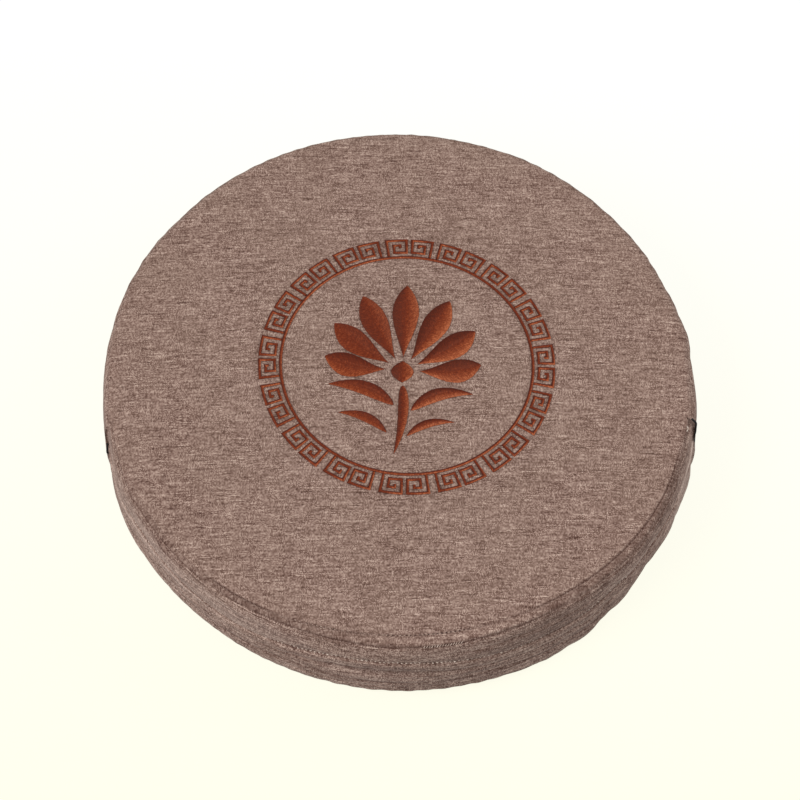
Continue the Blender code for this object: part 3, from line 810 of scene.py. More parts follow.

# A narrow band of satin: shares of its half-width over its low dome and back under it, and its rise there.
DOME = np.array([-1.0, -0.92, -0.7, -0.35, 0.0, 0.35, 0.7, 0.92, 1.0])
BAND_ACROSS = np.concatenate([DOME, [0.6, -0.6]])
BAND_RISE = 0.85 * MM * np.concatenate([np.sqrt(1.0 - DOME ** 2), [0.0, 0.0]])
BAND_RISE[[0, len(DOME) - 1]] = 0.12 * MM
KEY_SPREAD = 1.18           # the keys' thread spreads on the cloth past the width it is sewn at
KEY_UNEVEN = 0.06           # how much a key's width wanders from stitch to stitch
STATION_STEP = 0.00075
CIRCLE_STATIONS = 540

# The wide satin of the lotus, with lengths in millimetres.
STROKE_STATIONS = 84
STROKE_DOME = 21            # points of a ring over the dome
STROKE_EDGE = 0.15          # rise of the dome's two edges
STROKE_UNEVEN = 0.012
GROOVE_WIDTH = 0.55
GROOVE_DEPTH = 0.45         # share of the dome's height
STITCH_SLANT = 0.55


def lay_of_thread(plan, across, last):
    """Painted light from -1 to 1 at each ring point: its share across, times how far that side faces
    PAINTED_LIGHT_WAY.
    """
    side = plan[:, last] - plan[:, 0]
    side = side / np.linalg.norm(side, axis=1)[:, None]
    return across[None] * (side @ PAINTED_LIGHT_WAY)[:, None]


def band_tone(plan):
    """The painted light over a narrow band, with painted shade towards both edges, where the thread dives
    into the cloth.
    """
    lay = lay_of_thread(plan, BAND_ACROSS, len(DOME) - 1)
    return 1.5 * lay - 0.75 * BAND_ACROSS[None] ** 4


def on_panel(plan, rise):
    """Points on the panel from their plan, with the given rise above its cloth, moved to the solids."""
    height = panel_height(plan[..., 0], plan[..., 1]) + STITCH_GAP + rise
    return np.concatenate([plan, height[..., None]], axis=-1) + MOVE


def mitred_edges(path, width):
    """The two edges of a band of even width along a path, one pair of points for each corner."""
    steps = np.diff(path, axis=0)
    steps /= np.linalg.norm(steps, axis=1)[:, None]
    sides = np.stack([-steps[:, 1], steps[:, 0]], axis=1)
    before = np.vstack([sides[:1], sides])
    after = np.vstack([sides, sides[-1:]])
    mitre = before + after
    mitre /= np.sum(mitre * before, axis=1)[:, None]
    return path + mitre * 0.5 * width, path - mitre * 0.5 * width


def key_band(pair, mirrored, rng):
    """One spiral of a pair as a raised satin band: rings of points across its path, bent onto the ring.

    Between its mitred corners the band's edges are straight lines, and at every station a low dome,
    with the height of the root of one less the square of the share across, stands between the edges.
    """
    path = np.array(KEY_PATH, float) * [KEY_WIDTH, KEY_HEIGHT]
    path[0, 1] = 0.5 * RING_LINE_WIDTH + STITCH_GAP
    left, right = mitred_edges(path, KEY_STROKE)
    length = running_length(path)
    counts = np.maximum(2, np.round(np.diff(length) / STATION_STEP)).astype(int)
    at_corner = np.concatenate([[0], np.cumsum(counts)])
    stations = np.arange(at_corner[-1] + 1)

    def spaced(edge):
        return np.stack([np.interp(stations, at_corner, edge[:, k]) for k in (0, 1)], axis=1)

    left, right = spaced(left), spaced(right)
    middle = 0.5 * (left + right)
    reach = 0.5 * (right - left) * KEY_SPREAD
    wide = 1.0 + KEY_UNEVEN * rng.standard_normal(len(stations))[:, None, None]
    flat = middle[:, None] + reach[:, None] * BAND_ACROSS[None, :, None] * wide
    from_middle = KEY_WIDTH + 0.5 * TWIN_GAP - flat[..., 0]
    if mirrored:
        from_middle = -from_middle
    azimuth = FIRST_PAIR + pair * 360.0 / KEY_PAIRS
    azimuth += PAIR_DRIFT * math.cos(math.radians(azimuth))
    angle = math.radians(azimuth) + from_middle / (RING_LINE_RADIUS + 0.5 * KEY_HEIGHT)
    radius = RING_LINE_RADIUS + flat[..., 1]
    plan = np.stack([radius * np.cos(angle), radius * np.sin(angle)], axis=-1) + RING_CENTRE
    run = np.interp(stations, at_corner, length) + rng.uniform(0, 1)
    uv = np.stack(np.broadcast_arrays(run[:, None], BAND_ACROSS * 0.5 * KEY_STROKE), axis=-1)
    return on_panel(plan, np.broadcast_to(BAND_RISE, plan.shape[:2])), uv, band_tone(plan)


def circle_band():
    """The circle line as a raised satin band: a low dome carried round the circle."""
    angles = np.linspace(0.0, 2.0 * math.pi, CIRCLE_STATIONS, endpoint=False)[:, None]
    side = BAND_ACROSS * 0.5 * RING_LINE_WIDTH
    radius = RING_LINE_RADIUS + side
    plan = np.stack([radius * np.cos(angles), radius * np.sin(angles)], axis=-1) + RING_CENTRE
    uv = np.stack(np.broadcast_arrays(angles * RING_LINE_RADIUS, side), axis=-1)
    return on_panel(plan, np.broadcast_to(BAND_RISE, plan.shape[:2])), uv, band_tone(plan)


def lotus_strokes():
    """The petals fan out from the heart: one upright, then three to each side, each a little shorter."""
    strokes = []
    for order in range(-3, 4):
        angle = math.radians(90.0 + order * PETAL_SPREAD)
        aim = np.array([math.cos(angle), math.sin(angle)])
        side = "middle" if order == 0 else ("left_" if order > 0 else "right_") + str(abs(order))
        strokes.append(Stroke("lotus_petal_" + side, PETAL_HEART + aim * PETAL_ROOT,
                              PETAL_HEART + aim * PETAL_LENGTHS[abs(order)],
                              order * PETAL_BOW, PETAL_WIDTH, PETAL_WIDEST))
    return strokes + LOW_STROKES


def satin_shell(stroke, rng):
    """A lotus stroke: rings across a bowed spine.

    At share s of its length the half-width is half the width times sin(pi s^q)^0.8, where q puts the
    fullest place at s = widest. The dome's height is the root of one less the square of the share
    across, and a wide stroke has a fine hollow down its spine, where its two rows of stitches meet.
    """
    share = (1.0 - np.cos(np.linspace(0.03, math.pi - 0.03, STROKE_STATIONS))) * 0.5
    power = math.log(0.5) / math.log(stroke.widest)
    fullness = np.clip(np.sin(math.pi * share ** power), 0.0, 1.0) ** 0.8
    start = np.array(stroke.root, float)
    reach = np.array(stroke.tip, float) - start
    length = np.hypot(*reach)
    left = np.array([-reach[1], reach[0]]) / length
    bow = 4.0 * share * (1.0 - share) * stroke.bow
    top = np.sin(np.linspace(-0.5, 0.5, STROKE_DOME) * math.pi)
    across = np.concatenate([top, [0.6, 0.0, -0.6]])
    half = 0.5 * stroke.width * fullness * (1.0 + STROKE_UNEVEN * rng.standard_normal(len(share)))
    side = half[:, None] * across[None]
    plan = start + share[:, None, None] * reach + (bow[:, None] + side)[..., None] * left
    dome = np.concatenate([np.clip(1.0 - top ** 2, 0.0, 1.0) ** 0.5, [0.0, 0.0, 0.0]])
    rise = SATIN_THICKNESS / MM * np.sqrt(fullness)[:, None] * dome[None]
    rise[:, [0, STROKE_DOME - 1]] = STROKE_EDGE
    split = np.clip((half - 3.0) / 3.0, 0.0, 1.0)[:, None]
    groove = np.exp(-(side / GROOVE_WIDTH) ** 2) * (np.arange(len(across)) < STROKE_DOME)
    rise = rise * (1.0 - GROOVE_DEPTH * split * groove)
    slant = STITCH_SLANT * split * np.abs(side)
    uv = np.stack([share[:, None] * length - slant + rng.uniform(0, 50), side], axis=-1) * MM
    return on_panel(plan * MM + MOTIF_CENTRE, rise * MM), uv, lay_of_thread(plan, across, STROKE_DOME - 1)


satin_rng = np.random.default_rng(12)
keys = [(pair, mirrored) for pair in range(KEY_PAIRS) for mirrored in (False, True)]
key_names = [f"key_{pair + 1:02d}_{'right' if mirrored else 'left'}" for pair, mirrored in keys]
key_ring = show_shells("key_ring_satin", [key_band(*key, satin_rng) for key in keys])
circle_line = show_shells("circle_line_satin", [circle_band()], closed=True)
strokes = lotus_strokes()
lotus = show_shells("lotus_satin", [satin_shell(stroke, satin_rng) for stroke in strokes])


# ======== Sewing stitches ========

def stitch_template(half_length, radius, sides=5, rings=4):
    """One stitch: a bent bead, its thickness the root of one less the fourth power of the way along."""
    along = np.linspace(-0.92, 0.92, rings)
    girth = np.sqrt(1.0 - along ** 4)
    turn = np.arange(sides) * 2.0 * math.pi / sides
    side = girth[:, None] * np.cos(turn) * radius
    dive = radius * STITCH_FLATNESS
    up = girth[:, None] * np.sin(turn) * radius - (along ** 2)[:, None] * dive
    body = np.stack(np.broadcast_arrays(along[:, None] * half_length, side, up), axis=-1).reshape(-1, 3)
    tips = np.array([[-half_length, 0.0, -dive], [half_length, 0.0, -dive]])
    corner = np.arange(rings * sides).reshape(rings, sides)
    caps = [np.stack([np.full(sides, rings * sides + tip), ring, np.roll(ring, -1)], axis=-1)
            for tip, ring in enumerate((corner[0], corner[-1]))]
    return np.concatenate([body, tips]), faces_round(corner).reshape(-1, 4), np.concatenate(caps)


def sewn_row(name, sewing, centres, along, up, skew=0.0):
    """A row of stitches: the template set at each centre, along its seam and up off its cloth."""
    template, quads, caps = stitch_template(sewing.half_length, sewing.half_width)
    along = along / np.linalg.norm(along, axis=1)[:, None]
    side = np.cross(up, along)
    side /= np.linalg.norm(side, axis=1)[:, None]
    up = np.cross(along, side)
    swing = skew + 0.07 * stitch_rng.standard_normal(len(centres))[:, None]
    size = 1.0 + 0.08 * stitch_rng.standard_normal(len(centres))[:, None, None]
    ahead = along * np.cos(swing) + side * np.sin(swing)
    aside = side * np.cos(swing) - along * np.sin(swing)
    axes = np.stack([ahead, aside, up], axis=1)
    points = centres[:, None] + np.einsum("vk,nkc->nvc", template, axes) * size
    offsets = np.arange(len(centres))[:, None, None] * len(template)
    faces = (quads[None] + offsets).reshape(-1, 4).tolist()
    faces += (caps[None] + offsets).reshape(-1, 3).tolist()
    mesh = bpy.data.meshes.new(name)
    mesh.from_pydata((points.reshape(-1, 3) + MOVE).tolist(), [], faces)
    beads = bmesh.new()
    beads.from_mesh(mesh)
    bmesh.ops.recalc_face_normals(beads, faces=beads.faces)
    beads.to_mesh(mesh)
    beads.free()
    mesh.shade_smooth()
    return show(name, mesh)


def along_row(sewing):
    """Azimuths, points, directions and outward normals at even steps along a row of the cover."""
    row = place[sewing.place]
    span = sewing.last - sewing.first
    radius = np.hypot(cover[row, :, 0], cover[row, :, 1]).mean()
    count = int(math.radians(span) * radius / sewing.pitch)
    where = sewing.first + (np.arange(count) + 0.5) * span / count

    def sample(values):
        return np.stack([np.interp(where, azimuths, values[:, k], period=360.0) for k in range(3)], axis=1)

    centres = sample(cover[row])
    ahead = sample(np.roll(cover[row], -1, axis=0) - np.roll(cover[row], 1, axis=0))
    outward = sample(normals[row])
    return where, centres, ahead, outward / np.linalg.norm(outward, axis=1)[:, None]


# Each row of stitches: the span of its azimuths, its pitch, and a stitch's half-length and half-width.
Sewing = namedtuple("Sewing", "place first last pitch half_length half_width")
TOPSTITCHING = Sewing("topstitching", JOINT_LEFT + 1.5, JOINT_RIGHT - 1.5, STITCH_PITCH, 0.00105, 0.00034)
# The dark beads of painted shadow in the needle holes run along the HOLES row.
HOLES = Sewing("topstitching", 254.0, 286.0, STITCH_PITCH, 0.00070, 0.00032)
FLAP_SEWING = Sewing("flap's stitching", JOINT_LEFT + 1.2, JOINT_RIGHT - 1.2, STITCH_PITCH, 0.00090, 0.00050)
SEAM_SEWING = Sewing("rim seam", 277.0, 284.5, 0.0019, 0.00125, 0.00029)
HOLE_LIFT = 0.00035
SEAM_LIFT = 0.0006
SEAM_SKEW = 0.9
UPWARDS = np.array([0.0, 0.0, 1.0])

stitch_rng = np.random.default_rng(5)


def topstitching():
    """Stitches sunk 0.20 mm into the panel's edge, and standing 0.35 mm up from it round the front."""
    where, centres, ahead, outward = along_row(TOPSTITCHING)
    lift = -0.00020 + 0.00055 * window(where, HOLES.first, HOLES.last, 4.0)
    return sewn_row("topstitching", TOPSTITCHING, centres + UPWARDS * lift[:, None], ahead,
                    outward * 0.3 + UPWARDS)


def needle_holes():
    """Small dark beads of painted shadow half a pitch on from the stitches, where the needle left holes
    between them.
    """
    _, centres, ahead, outward = along_row(HOLES)
    half_on = ahead / np.linalg.norm(ahead, axis=1)[:, None] * 0.5 * STITCH_PITCH
    return sewn_row("needle_holes", HOLES, centres + half_on + UPWARDS * HOLE_LIFT, ahead, outward)


def flap_stitching():
    """Stitches that stand 0.1 mm off the flap, up to 0.45 mm more round the front, and 0.2 mm uneven."""
    where, centres, ahead, outward = along_row(FLAP_SEWING)
    uneven = stitch_rng.standard_normal(len(where))
    lift = 0.00010 + 0.00045 * window(where, 250, 296, 6.0) + 0.00020 * uneven
    return sewn_row("flap_stitching", FLAP_SEWING, centres + outward * lift[:, None], ahead, outward)


def rim_seam_stitches():
    """A short run of slanting threads that shows in the rim seam at the front."""
    _, centres, ahead, outward = along_row(SEAM_SEWING)
    return sewn_row("rim_seam_stitches", SEAM_SEWING, centres + outward * SEAM_LIFT, ahead, outward,
                    SEAM_SKEW)


panel_stitches = topstitching()
holes = needle_holes()
flap_stitches = flap_stitching()
seam_stitches = rim_seam_stitches()


# The loose thread at the right of the rim, in millimetres.
LOOSE_START = np.array([216.4, -28.6])
LOOSE_REACH = np.array([0.2, -4.8])
LOOSE_BOW = 0.9
LOOSE_HEIGHT = 80.3
LOOSE_DROP = 1.2            # of its two ends
LOOSE_RADIUS = 0.36


def loose_end():
    """A thread's loose end on the rim: a tapering tube along a bowed line.

    Its half-width is the root of one less the fourth power of the way along from its middle.
    """
    share = np.linspace(0.01, 0.99, 14)
    ahead = LOOSE_REACH / np.hypot(*LOOSE_REACH)
    side = np.array([-ahead[1], ahead[0]])
    bow = 4.0 * share * (1.0 - share) * LOOSE_BOW
    line = LOOSE_START + share[:, None] * LOOSE_REACH + bow[:, None] * side
    from_middle = 2.0 * share - 1.0
    height = LOOSE_HEIGHT - LOOSE_DROP * from_middle ** 2
    turn = np.arange(6) * math.pi / 3.0
    girth = LOOSE_RADIUS * np.sqrt(1.0 - from_middle ** 4)[:, None]
    plan = line[:, None] + (girth * np.cos(turn))[..., None] * side
    points = np.concatenate([plan, (height[:, None] + girth * np.sin(turn))[..., None]], axis=-1)
    flat = np.zeros(points.shape[:2])
    return show_shells("loose_thread", [(points * MM + MOVE, np.stack([flat, flat], axis=-1), flat)])


thread_end = loose_end()


# ======== The zip's right end ========

# A folded tape, with lengths in metres: how far its middle lies off the joint and off the section, the
# height of its foot, its half-width round the cover, and its half-thickness at its top and at its foot.
TAPE_CLEAR = 0.00105
TAPE_FOOT = 0.047
TAPE_HALF_WIDTH = 0.00075
TAPE_HALF_TOP = 0.00095
TAPE_HALF_FOOT = 0.00045
TAPE_STATIONS = 48
TAPE_AROUND = 12
TAPE_SOFTENING = 12

# How far the tape stands out beyond the section at a height, both in millimetres.
Bulge = namedtuple("Bulge", "height out")
TAPE_BULGE = [
    Bulge(46.0, -0.3),
    Bulge(54.0, 0.0),
    Bulge(60.0, 0.4),
    Bulge(66.0, 1.0),
    Bulge(71.0, 1.8),
    Bulge(76.0, 2.9),
    Bulge(78.5, 3.1),
    Bulge(80.5, 2.4),
]


def unit_tangents(line):
    """Unit directions along a line of points: its differences, each divided by its length."""
    along = np.gradient(line, axis=0)
    return along / np.linalg.norm(along, axis=1)[:, None]


def right_tape_end():
    """The folded tape end beside the right joint: an oval tube down the cover's section from its rim.

    Its middle line is the section with the hollows under the rim bridged, moved outwards by TAPE_CLEAR and
    by TAPE_BULGE, and softened. At each of its points the tube's ring is an ellipse across it.
    """
    azimuth = JOINT_RIGHT - math.degrees(TAPE_CLEAR / RADIUS)
    radii, heights = section_points(np.array([azimuth]))
    radii, heights = radii[:, 0], heights[:, 0]
    bridged = np.where(heights < RIM_HEIGHT - 0.004, np.maximum.accumulate(radii), radii)
    line = np.stack([bridged, heights], axis=1)
    along = unit_tangents(line)
    line = line + np.stack([-along[:, 1], along[:, 0]], axis=1) * TAPE_CLEAR
    line = line[[row.place for row in SECTION].index("rim roll, inner side"):]
    lengths = running_length(line)
    places = np.linspace(0.0, np.interp(-TAPE_FOOT, -line[:, 1], lengths), TAPE_STATIONS)
    track = np.stack([np.interp(places, lengths, line[:, k]) for k in (0, 1)], axis=1)
    bulge = np.array(TAPE_BULGE) * MM
    track[:, 0] += np.interp(track[:, 1], bulge[:, 0], bulge[:, 1])
    for _ in range(TAPE_SOFTENING):
        track[1:-1] = 0.25 * track[:-2] + 0.5 * track[1:-1] + 0.25 * track[2:]
    along = unit_tangents(track)
    turn = np.linspace(0.0, 2.0 * math.pi, TAPE_AROUND, endpoint=False)
    out = np.linspace(TAPE_HALF_TOP, TAPE_HALF_FOOT, TAPE_STATIONS)[:, None] * np.cos(turn)
    aside = np.broadcast_to(TAPE_HALF_WIDTH * np.sin(turn), out.shape)
    radius = track[:, :1] - along[:, 1:] * out
    height = track[:, 1:] + along[:, :1] * out
    angle = math.radians(azimuth) + aside / RADIUS
    points = np.stack([radius * np.cos(angle), radius * np.sin(angle), height], axis=-1) + MOVE
    uv = np.stack(np.broadcast_arrays(places[:, None], aside), axis=-1)
    return show_shells("zip_tape_right", [(points, uv, np.zeros(out.shape))])


right_tape = right_tape_end()


# ======== Materials ========

class Wire:
    """A node's output that takes part in arithmetic: each operator adds one Math node."""

    def __init__(self, paint, socket):
        self.paint = paint
        self.socket = socket

    def __add__(self, other):
        return self.paint.math("ADD", self, other)

    __radd__ = __add__

    def __sub__(self, other):
        return self.paint.math("SUBTRACT", self, other)

    def __rsub__(self, other):
        return self.paint.math("SUBTRACT", other, self)

    def __mul__(self, other):
        return self.paint.math("MULTIPLY", self, other)

    __rmul__ = __mul__

    def __truediv__(self, other):
        return self.paint.math("DIVIDE", self, other)

    def __abs__(self):
        return self.paint.math("ABSOLUTE", self)


class Paint:
    """A material and its nodes, round one Principled shader."""

    def __init__(self, name, constants):
        self.material = bpy.data.materials.new(name)
        self.material.use_nodes = True
        self.tree = self.material.node_tree
        self.shader = self.tree.nodes["Principled BSDF"]
        for socket, value in constants.items():
            self.shader.inputs[socket].default_value = value

    def node(self, kind, settings=None, inputs=None, output=0):
        """Adds a node: its settings first, then the values or links of its sockets."""
        made = self.tree.nodes.new(kind)
        for key, value in (settings or {}).items():
            if key == "stops":
                for element, (where, colour) in zip(self._stops(made, len(value)), value):
                    element.position = where
                    element.color = colour
            else:
                setattr(made, key, value)
        for key, value in (inputs or {}).items():
            socket = made.inputs[key]
            if isinstance(value, Wire):
                self.tree.links.new(value.socket, socket)
            else:
                socket.default_value = value
        return Wire(self, made.outputs[output])

    @staticmethod
    def _stops(made, count):
        while len(made.color_ramp.elements) < count:
            made.color_ramp.elements.new(1.0)
        return made.color_ramp.elements

    def feed(self, socket, wire):
        self.tree.links.new(wire.socket, self.shader.inputs[socket])

    def math(self, operation, first, second=0.0):
        return self.node("ShaderNodeMath", {"operation": operation}, {0: first, 1: second})

    def vector(self, x, y, z=0.0):
        return self.node("ShaderNodeCombineXYZ", None, {0: x, 1: y, 2: z})

    def place_on(self):
        """The point's place on the piece."""
        return self.node("ShaderNodeTexCoord", output=3)

    def attribute(self, name):
        return self.node("ShaderNodeAttribute", {"attribute_name": name}, output=2)

    def ramp(self, value, stops):
        """A value's colour between stops, each a pair of a value and a colour."""
        return self.node("ShaderNodeValToRGB", {"stops": stops}, {"Fac": value})

    def noise(self, vector, scale=1.0, detail=0.0, roughness=0.5):
        return self.node("ShaderNodeTexNoise", {"noise_dimensions": "3D"},
                         {"Vector": vector, "Scale": scale, "Detail": detail, "Roughness": roughness})

    def step(self, value, low, high, kind="SMOOTHSTEP"):
        """A step of value from 0 at low to 1 at high, smooth or straight."""
        return self.node("ShaderNodeMapRange", {"interpolation_type": kind},
                         {"Value": value, "From Min": low, "From Max": high})

    def mix(self, factor, first, second):
        return self.node("ShaderNodeMix", {"data_type": "RGBA"}, {0: factor, 6: first, 7: second}, output=2)

    def bump(self, height, strength, distance):
        return self.node("ShaderNodeBump", None,
                         {"Height": height, "Strength": strength, "Distance": distance})

    def wave(self, direction, vector, scale, distortion=0.0):
        return self.node("ShaderNodeTexWave", {"wave_type": "BANDS", "bands_direction": direction},
                         {"Vector": vector, "Scale": scale, "Distortion": distortion})

    def part(self, vector, axis):
        return self.node("ShaderNodeSeparateXYZ", None, {0: vector}, output=axis)

    def split_uv(self, name):
        """The two coordinates of a UV map in metres, in millimetres."""
        uv = self.node("ShaderNodeUVMap", {"uv_map": name})
        return self.part(uv, 0) * 1000.0, self.part(uv, 1) * 1000.0


def heather_cloth():
    """Slubby cloth of mixed threads.

    Each crossing of a warp and a weft thread has its own tone, white noise of the threads' two numbers. To
    it come a long slow tone along every weft thread, a short one along every warp thread, and sparse slubs,
    light and dark. The band's threads, whose map lies past half of BAND_MAP, run longer. A ramp turns tone
    to colour.
    """
    paint = Paint("heather_cloth", {"Roughness": 0.9, "Specular IOR Level": 0.2, "Sheen Weight": 0.11,
                                    "Sheen Roughness": 0.4, "Sheen Tint": (1.0, 0.90, 0.82, 1.0)})
    across, up = paint.split_uv("cloth")
    on_band = paint.math("GREATER_THAN", up, 500.0 * BAND_MAP)
    stretch = 1.0 - on_band * 0.35
    wander = paint.noise(paint.vector(across * 0.045, up * 0.045, 3.0))
    drift = paint.noise(paint.vector(across * 0.04, up * 0.04, 9.0))
    up = up + (wander - 0.5) * 1.2
    across = across + (drift - 0.5) * 1.2
    along = across * stretch
    weft = paint.math("FLOOR", up / WEFT_PITCH)
    warp = paint.math("FLOOR", across / WARP_PITCH)
    crossing = paint.node("ShaderNodeTexWhiteNoise", {"noise_dimensions": "2D"},
                          {"Vector": paint.vector(warp, weft)})
    weft_tone = paint.noise(paint.vector(along * 0.12, weft * 7.31, 1.5), 1.0, 1.0)
    warp_tone = paint.noise(paint.vector(warp * 5.77, up * 0.28, 8.5), 1.0, 1.0)
    light_slub = paint.step(paint.noise(paint.vector(along * 0.035, weft * 3.37, 20.0)), 0.67, 0.77)
    dark_slub = paint.step(paint.noise(paint.vector(along * 0.050, weft * 4.83, 33.0)), 0.67, 0.77)
    warp_slub = paint.step(paint.noise(paint.vector(warp * 4.19, up * 0.045, 26.0)), 0.70, 0.82)
    cloud = paint.noise(paint.vector(across * 0.028, up * 0.05, 40.0), 1.0, 2.0)
    tone = (crossing - 0.5) * 0.56 + (weft_tone - 0.5) * 0.82 + (warp_tone - 0.5) * 0.50
    tone = tone + light_slub * 0.18 - dark_slub * 0.24 + warp_slub * 0.12 + (cloud - 0.5) * 0.16
    tone = tone * (1.0 + on_band * 0.35) + 0.5
    colour = paint.ramp(tone, [(0.0, srgb(78, 53, 45)), (0.25, srgb(109, 83, 73)),
                               (0.5, srgb(137, 111, 100)), (0.75, srgb(165, 139, 127)),
                               (1.0, srgb(198, 173, 159))])
    hue = paint.noise(paint.vector(across * 0.02, up * 0.02, 60.0), 1.0, 1.0)
    colour = paint.mix(paint.step(hue, 0.35, 0.65) * 0.10, colour, srgb(146, 124, 108))
    # Painted shade: the seam attribute darkens the hollows and strips towards dark brown. Painted highlight:
    # its negative values lighten folds' edges towards pale pink.
    seam = paint.attribute("seam_shade")
    colour = paint.mix(seam * 0.9, colour, srgb(60, 32, 24))
    colour = paint.mix(seam * -0.9, colour, srgb(222, 202, 190))
    paint.feed("Base Color", colour)
    ridge_weft = abs(paint.math("SINE", up * (math.pi / WEFT_PITCH)))
    ridge_warp = abs(paint.math("SINE", across * (math.pi / WARP_PITCH)))
    over = paint.math("MODULO", abs(weft + warp), 2.0)
    ridge = ridge_weft * (1.0 - over) + ridge_warp * over
    relief = ridge * 0.6 + light_slub * 0.5 + warp_slub * 0.4 + (weft_tone - 0.5)
    paint.feed("Normal", paint.bump(relief, 0.4, 0.0002))
    return paint.material


def satin_thread():
    """Glossy thread laid side by side across each stroke, each with its own tone, with painted highlight on
    one side and painted shade at the edges.
    """
    paint = Paint("satin_embroidery", {"Roughness": 0.45, "Specular IOR Level": 0.4,
                                       "Specular Tint": (1.0, 0.60, 0.42, 1.0)})
    along, across = paint.split_uv("thread")
    thread = paint.math("FLOOR", along / SATIN_PITCH)
    own = paint.noise(paint.vector(thread * 3.71, across * 0.35, 2.0), 1.0, 1.0)
    fleck = paint.noise(paint.vector(along * 0.9, across * 0.8, 5.0), 1.0, 1.0)
    # The tone attribute is painted light: paler on the side that faces PAINTED_LIGHT_WAY, and painted shade
    # at the narrow bands' edges.
    tone = (own - 0.5) + (fleck - 0.5) * 0.8 + paint.attribute("tone") * 0.55 + 0.36
    paint.feed("Base Color", paint.ramp(tone, [(0.0, srgb(74, 18, 5)), (0.35, srgb(104, 34, 12)),
                                               (0.65, srgb(136, 60, 30)), (1.0, srgb(186, 104, 66))]))
    ridge = abs(paint.math("SINE", along * (math.pi / SATIN_PITCH)))
    paint.feed("Normal", paint.bump(ridge, 0.6, 0.00014))
    return paint.material


def sewing_thread(name, dark, light):
    """Twisted sewing thread: a fine slanting stripe over a tone that changes from stitch to stitch."""
    paint = Paint(name, {"Roughness": 0.6, "Specular IOR Level": 0.35})
    place_on = paint.place_on()
    tone = paint.noise(place_on, 420.0, 1.0)
    paint.feed("Base Color", paint.mix(paint.step(tone, 0.3, 0.7), dark, light))
    paint.feed("Normal", paint.bump(paint.wave("DIAGONAL", place_on, 900.0), 0.4, 0.0001))
    return paint.material


def zip_tape():
    """Black woven tape: fine wavy ribs in its relief and a little lint on its colour."""
    paint = Paint("woven_zip_tape", {"Roughness": 0.7, "Specular IOR Level": 0.3})
    place_on = paint.place_on()
    lint = paint.noise(place_on, 900.0, 2.0)
    paint.feed("Base Color", paint.mix(paint.step(lint, 0.55, 0.8) * 0.5, srgb(20, 19, 20), srgb(62, 56, 54)))
    paint.feed("Normal", paint.bump(paint.wave("Z", place_on, 700.0, 1.5), 0.5, 0.00015))
    return paint.material


def dress(piece, material):
    piece.data.materials.clear()
    piece.data.materials.append(material)


dress(cushion, heather_cloth())
satin = satin_thread()
for piece in (key_ring, circle_line, lotus):
    dress(piece, satin)
dress(thread_end, sewing_thread("pale_sewing_thread", srgb(196, 178, 164), srgb(240, 228, 214)))
dress(panel_stitches, sewing_thread("panel_sewing_thread", srgb(132, 104, 92), srgb(188, 164, 150)))
dress(flap_stitches, sewing_thread("flap_sewing_thread", srgb(176, 152, 138), srgb(230, 212, 198)))
# Painted shadow: dark beads for the shade in the needle holes between the topstitches.
dress(holes, sewing_thread("needle_shadow", srgb(46, 24, 18), srgb(70, 40, 30)))
dress(seam_stitches, sewing_thread("seam_thread", srgb(168, 144, 130), srgb(220, 198, 184)))
tape = zip_tape()
for piece in (right_tape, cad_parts["zip_end_left"]):
    dress(piece, tape)


# ======== What each piece stands for ========

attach(cushion, "root")
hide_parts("cushion")
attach(key_ring, "root")
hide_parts(*key_names)
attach(circle_line, "root")
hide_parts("circle_line")
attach(right_tape, "root")
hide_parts("zip_end_right")
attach(lotus, "root")
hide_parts(*[stroke.name for stroke in strokes])
for piece in (panel_stitches, holes, flap_stitches, seam_stitches, thread_end):
    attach(piece, "root")


# ======== The studio ========

FLOOR_SIDES = 96
FLOOR_RADIUS = 3.2
FLOOR_BEND = 1.6
WALL_HEIGHT = 2.5
FLOOR_DROP = 0.0002         # the floor lies this far below the cushion
GLOW = 0.93                 # the floor's own light, which makes it the photograph's even ground
GLOW_SPAN = (-0.35, 0.38)   # from the front to the back, where its tint passes from the first to the second
GLOW_TINTS = ((1.0, 0.985, 0.81, 1.0), (1.0, 1.0, 0.975, 1.0))
WORLD_COLOUR = (1.0, 1.0, 0.985, 1.0)
WORLD_STRENGTH = 0.48

# Square area lights: directions in degrees, distances and sizes in metres, power in watts.
Light = namedtuple("Light", "name azimuth elevation distance size power")
LIGHTS = [
    Light("key_light", 212.0, 40.0, 6.5, 4.2, 320.0),
    Light("right_fill", 16.0, 32.0, 2.2, 1.2, 18.0),
]
LIGHTS_AIM = Vector((0.0, 0.0, 0.04))

# The camera, solved from the photograph's outline of the top, its two circles and its foot.
CAMERA_PLACE = Vector((0.0, -1.123285, 1.989599))
CAMERA_ELEVATION = 60.05
CAMERA_ROLL = 3.34
CAMERA_LENS = 132.08
CAMERA_SHIFT = (0.00122, 0.0030)


def floor_paint():
    """A pale floor with a faint glow of its own, a little yellower towards the front."""
    paint = Paint("pale_floor", {"Base Color": (0.10, 0.10, 0.097, 1.0), "Roughness": 1.0,
                                 "Specular IOR Level": 0.0, "Emission Strength": GLOW})
    back = paint.step(paint.part(paint.place_on(), 1), *GLOW_SPAN, kind="LINEAR")
    paint.feed("Emission Color", paint.mix(back, *GLOW_TINTS))
    paint.material.cycles.emission_sampling = "NONE"
    return paint.material


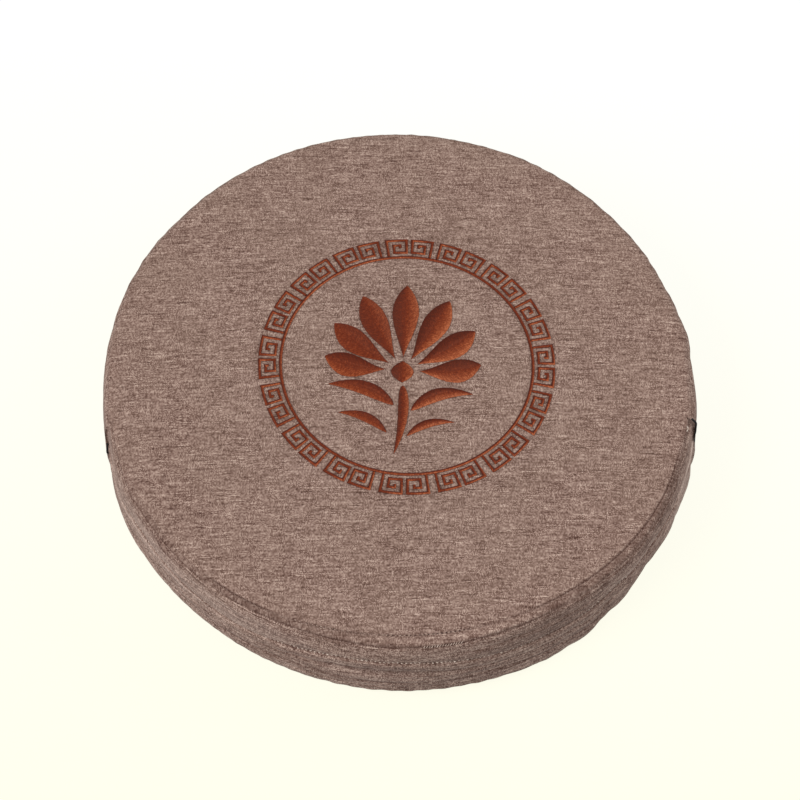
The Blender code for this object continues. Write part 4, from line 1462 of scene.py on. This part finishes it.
def studio_floor():
    """A wide pale floor that curves up into a wall all round: a flat disc, then a quarter round."""
    turn = np.radians(np.arange(FLOOR_SIDES) * 360.0 / FLOOR_SIDES)
    flat = np.linspace(0.15, FLOOR_RADIUS, 12)
    quarter = np.linspace(0.0, 0.5 * math.pi, 14)[1:]
    edge = FLOOR_RADIUS + FLOOR_BEND
    radius = np.concatenate([flat, FLOOR_RADIUS + FLOOR_BEND * np.sin(quarter), [edge]])[:, None]
    rise = np.concatenate([flat * 0.0, FLOOR_BEND * (1.0 - np.cos(quarter)), [FLOOR_BEND + WALL_HEIGHT]])
    height = np.broadcast_to(rise[:, None] - FLOOR_DROP, (len(rise), len(turn)))
    points = np.stack([radius * np.cos(turn), radius * np.sin(turn), height], axis=-1)
    corner = np.arange(height.size).reshape(height.shape)
    faces = faces_round(corner).reshape(-1, 4).tolist() + [corner[0].tolist()]
    mesh = bpy.data.meshes.new("studio_floor")
    mesh.from_pydata(points.reshape(-1, 3).tolist(), [], faces)
    mesh.shade_smooth()
    floor = show("studio_floor", mesh)
    floor.visible_diffuse = False
    floor.visible_glossy = False
    floor.visible_shadow = False
    dress(floor, floor_paint())


def soft_light(light):
    """A square area light that looks at the cushion from its azimuth and its elevation."""
    turn, lift = math.radians(light.azimuth), math.radians(light.elevation)
    back = Vector((math.cos(turn) * math.cos(lift), math.sin(turn) * math.cos(lift), math.sin(lift)))
    data = bpy.data.lights.new(light.name, "AREA")
    data.size = light.size
    data.energy = light.power
    lamp = show(light.name, data)
    lamp.location = back * light.distance + LIGHTS_AIM
    lamp.rotation_mode = "QUATERNION"
    lamp.rotation_quaternion = (-back).to_track_quat("-Z", "Y")


def studio_world():
    """An even pale surround."""
    world = bpy.data.worlds.new("soft_studio")
    world.use_nodes = True
    surround = world.node_tree.nodes["Background"].inputs
    surround["Color"].default_value = WORLD_COLOUR
    surround["Strength"].default_value = WORLD_STRENGTH
    bpy.context.scene.world = world
    bpy.context.scene.view_settings.view_transform = "Standard"


def studio_camera():
    """The camera, looking down at the cushion from the front and rolled a little about its view."""
    elevation, roll = math.radians(CAMERA_ELEVATION), math.radians(CAMERA_ROLL)
    back = Vector((0.0, -math.cos(elevation), math.sin(elevation)))
    right = Vector((1.0, 0.0, 0.0))
    up = right.cross(-back)
    across = right * math.cos(roll) + up * math.sin(roll)
    upward = up * math.cos(roll) - right * math.sin(roll)
    data = bpy.data.cameras.new("camera")
    data.sensor_width = 36.0
    data.lens = CAMERA_LENS
    data.shift_x, data.shift_y = CAMERA_SHIFT
    data.clip_start = 0.05
    data.clip_end = 50.0
    camera = show("camera", data)
    camera.rotation_mode = "QUATERNION"
    camera.rotation_quaternion = Matrix((across, upward, back)).transposed().to_quaternion()
    camera.location = CAMERA_PLACE + Vector(MOVE)
    bpy.context.scene.camera = camera


studio_floor()
for light in LIGHTS:
    soft_light(light)
studio_world()
studio_camera()

bpy.context.view_layer.update()
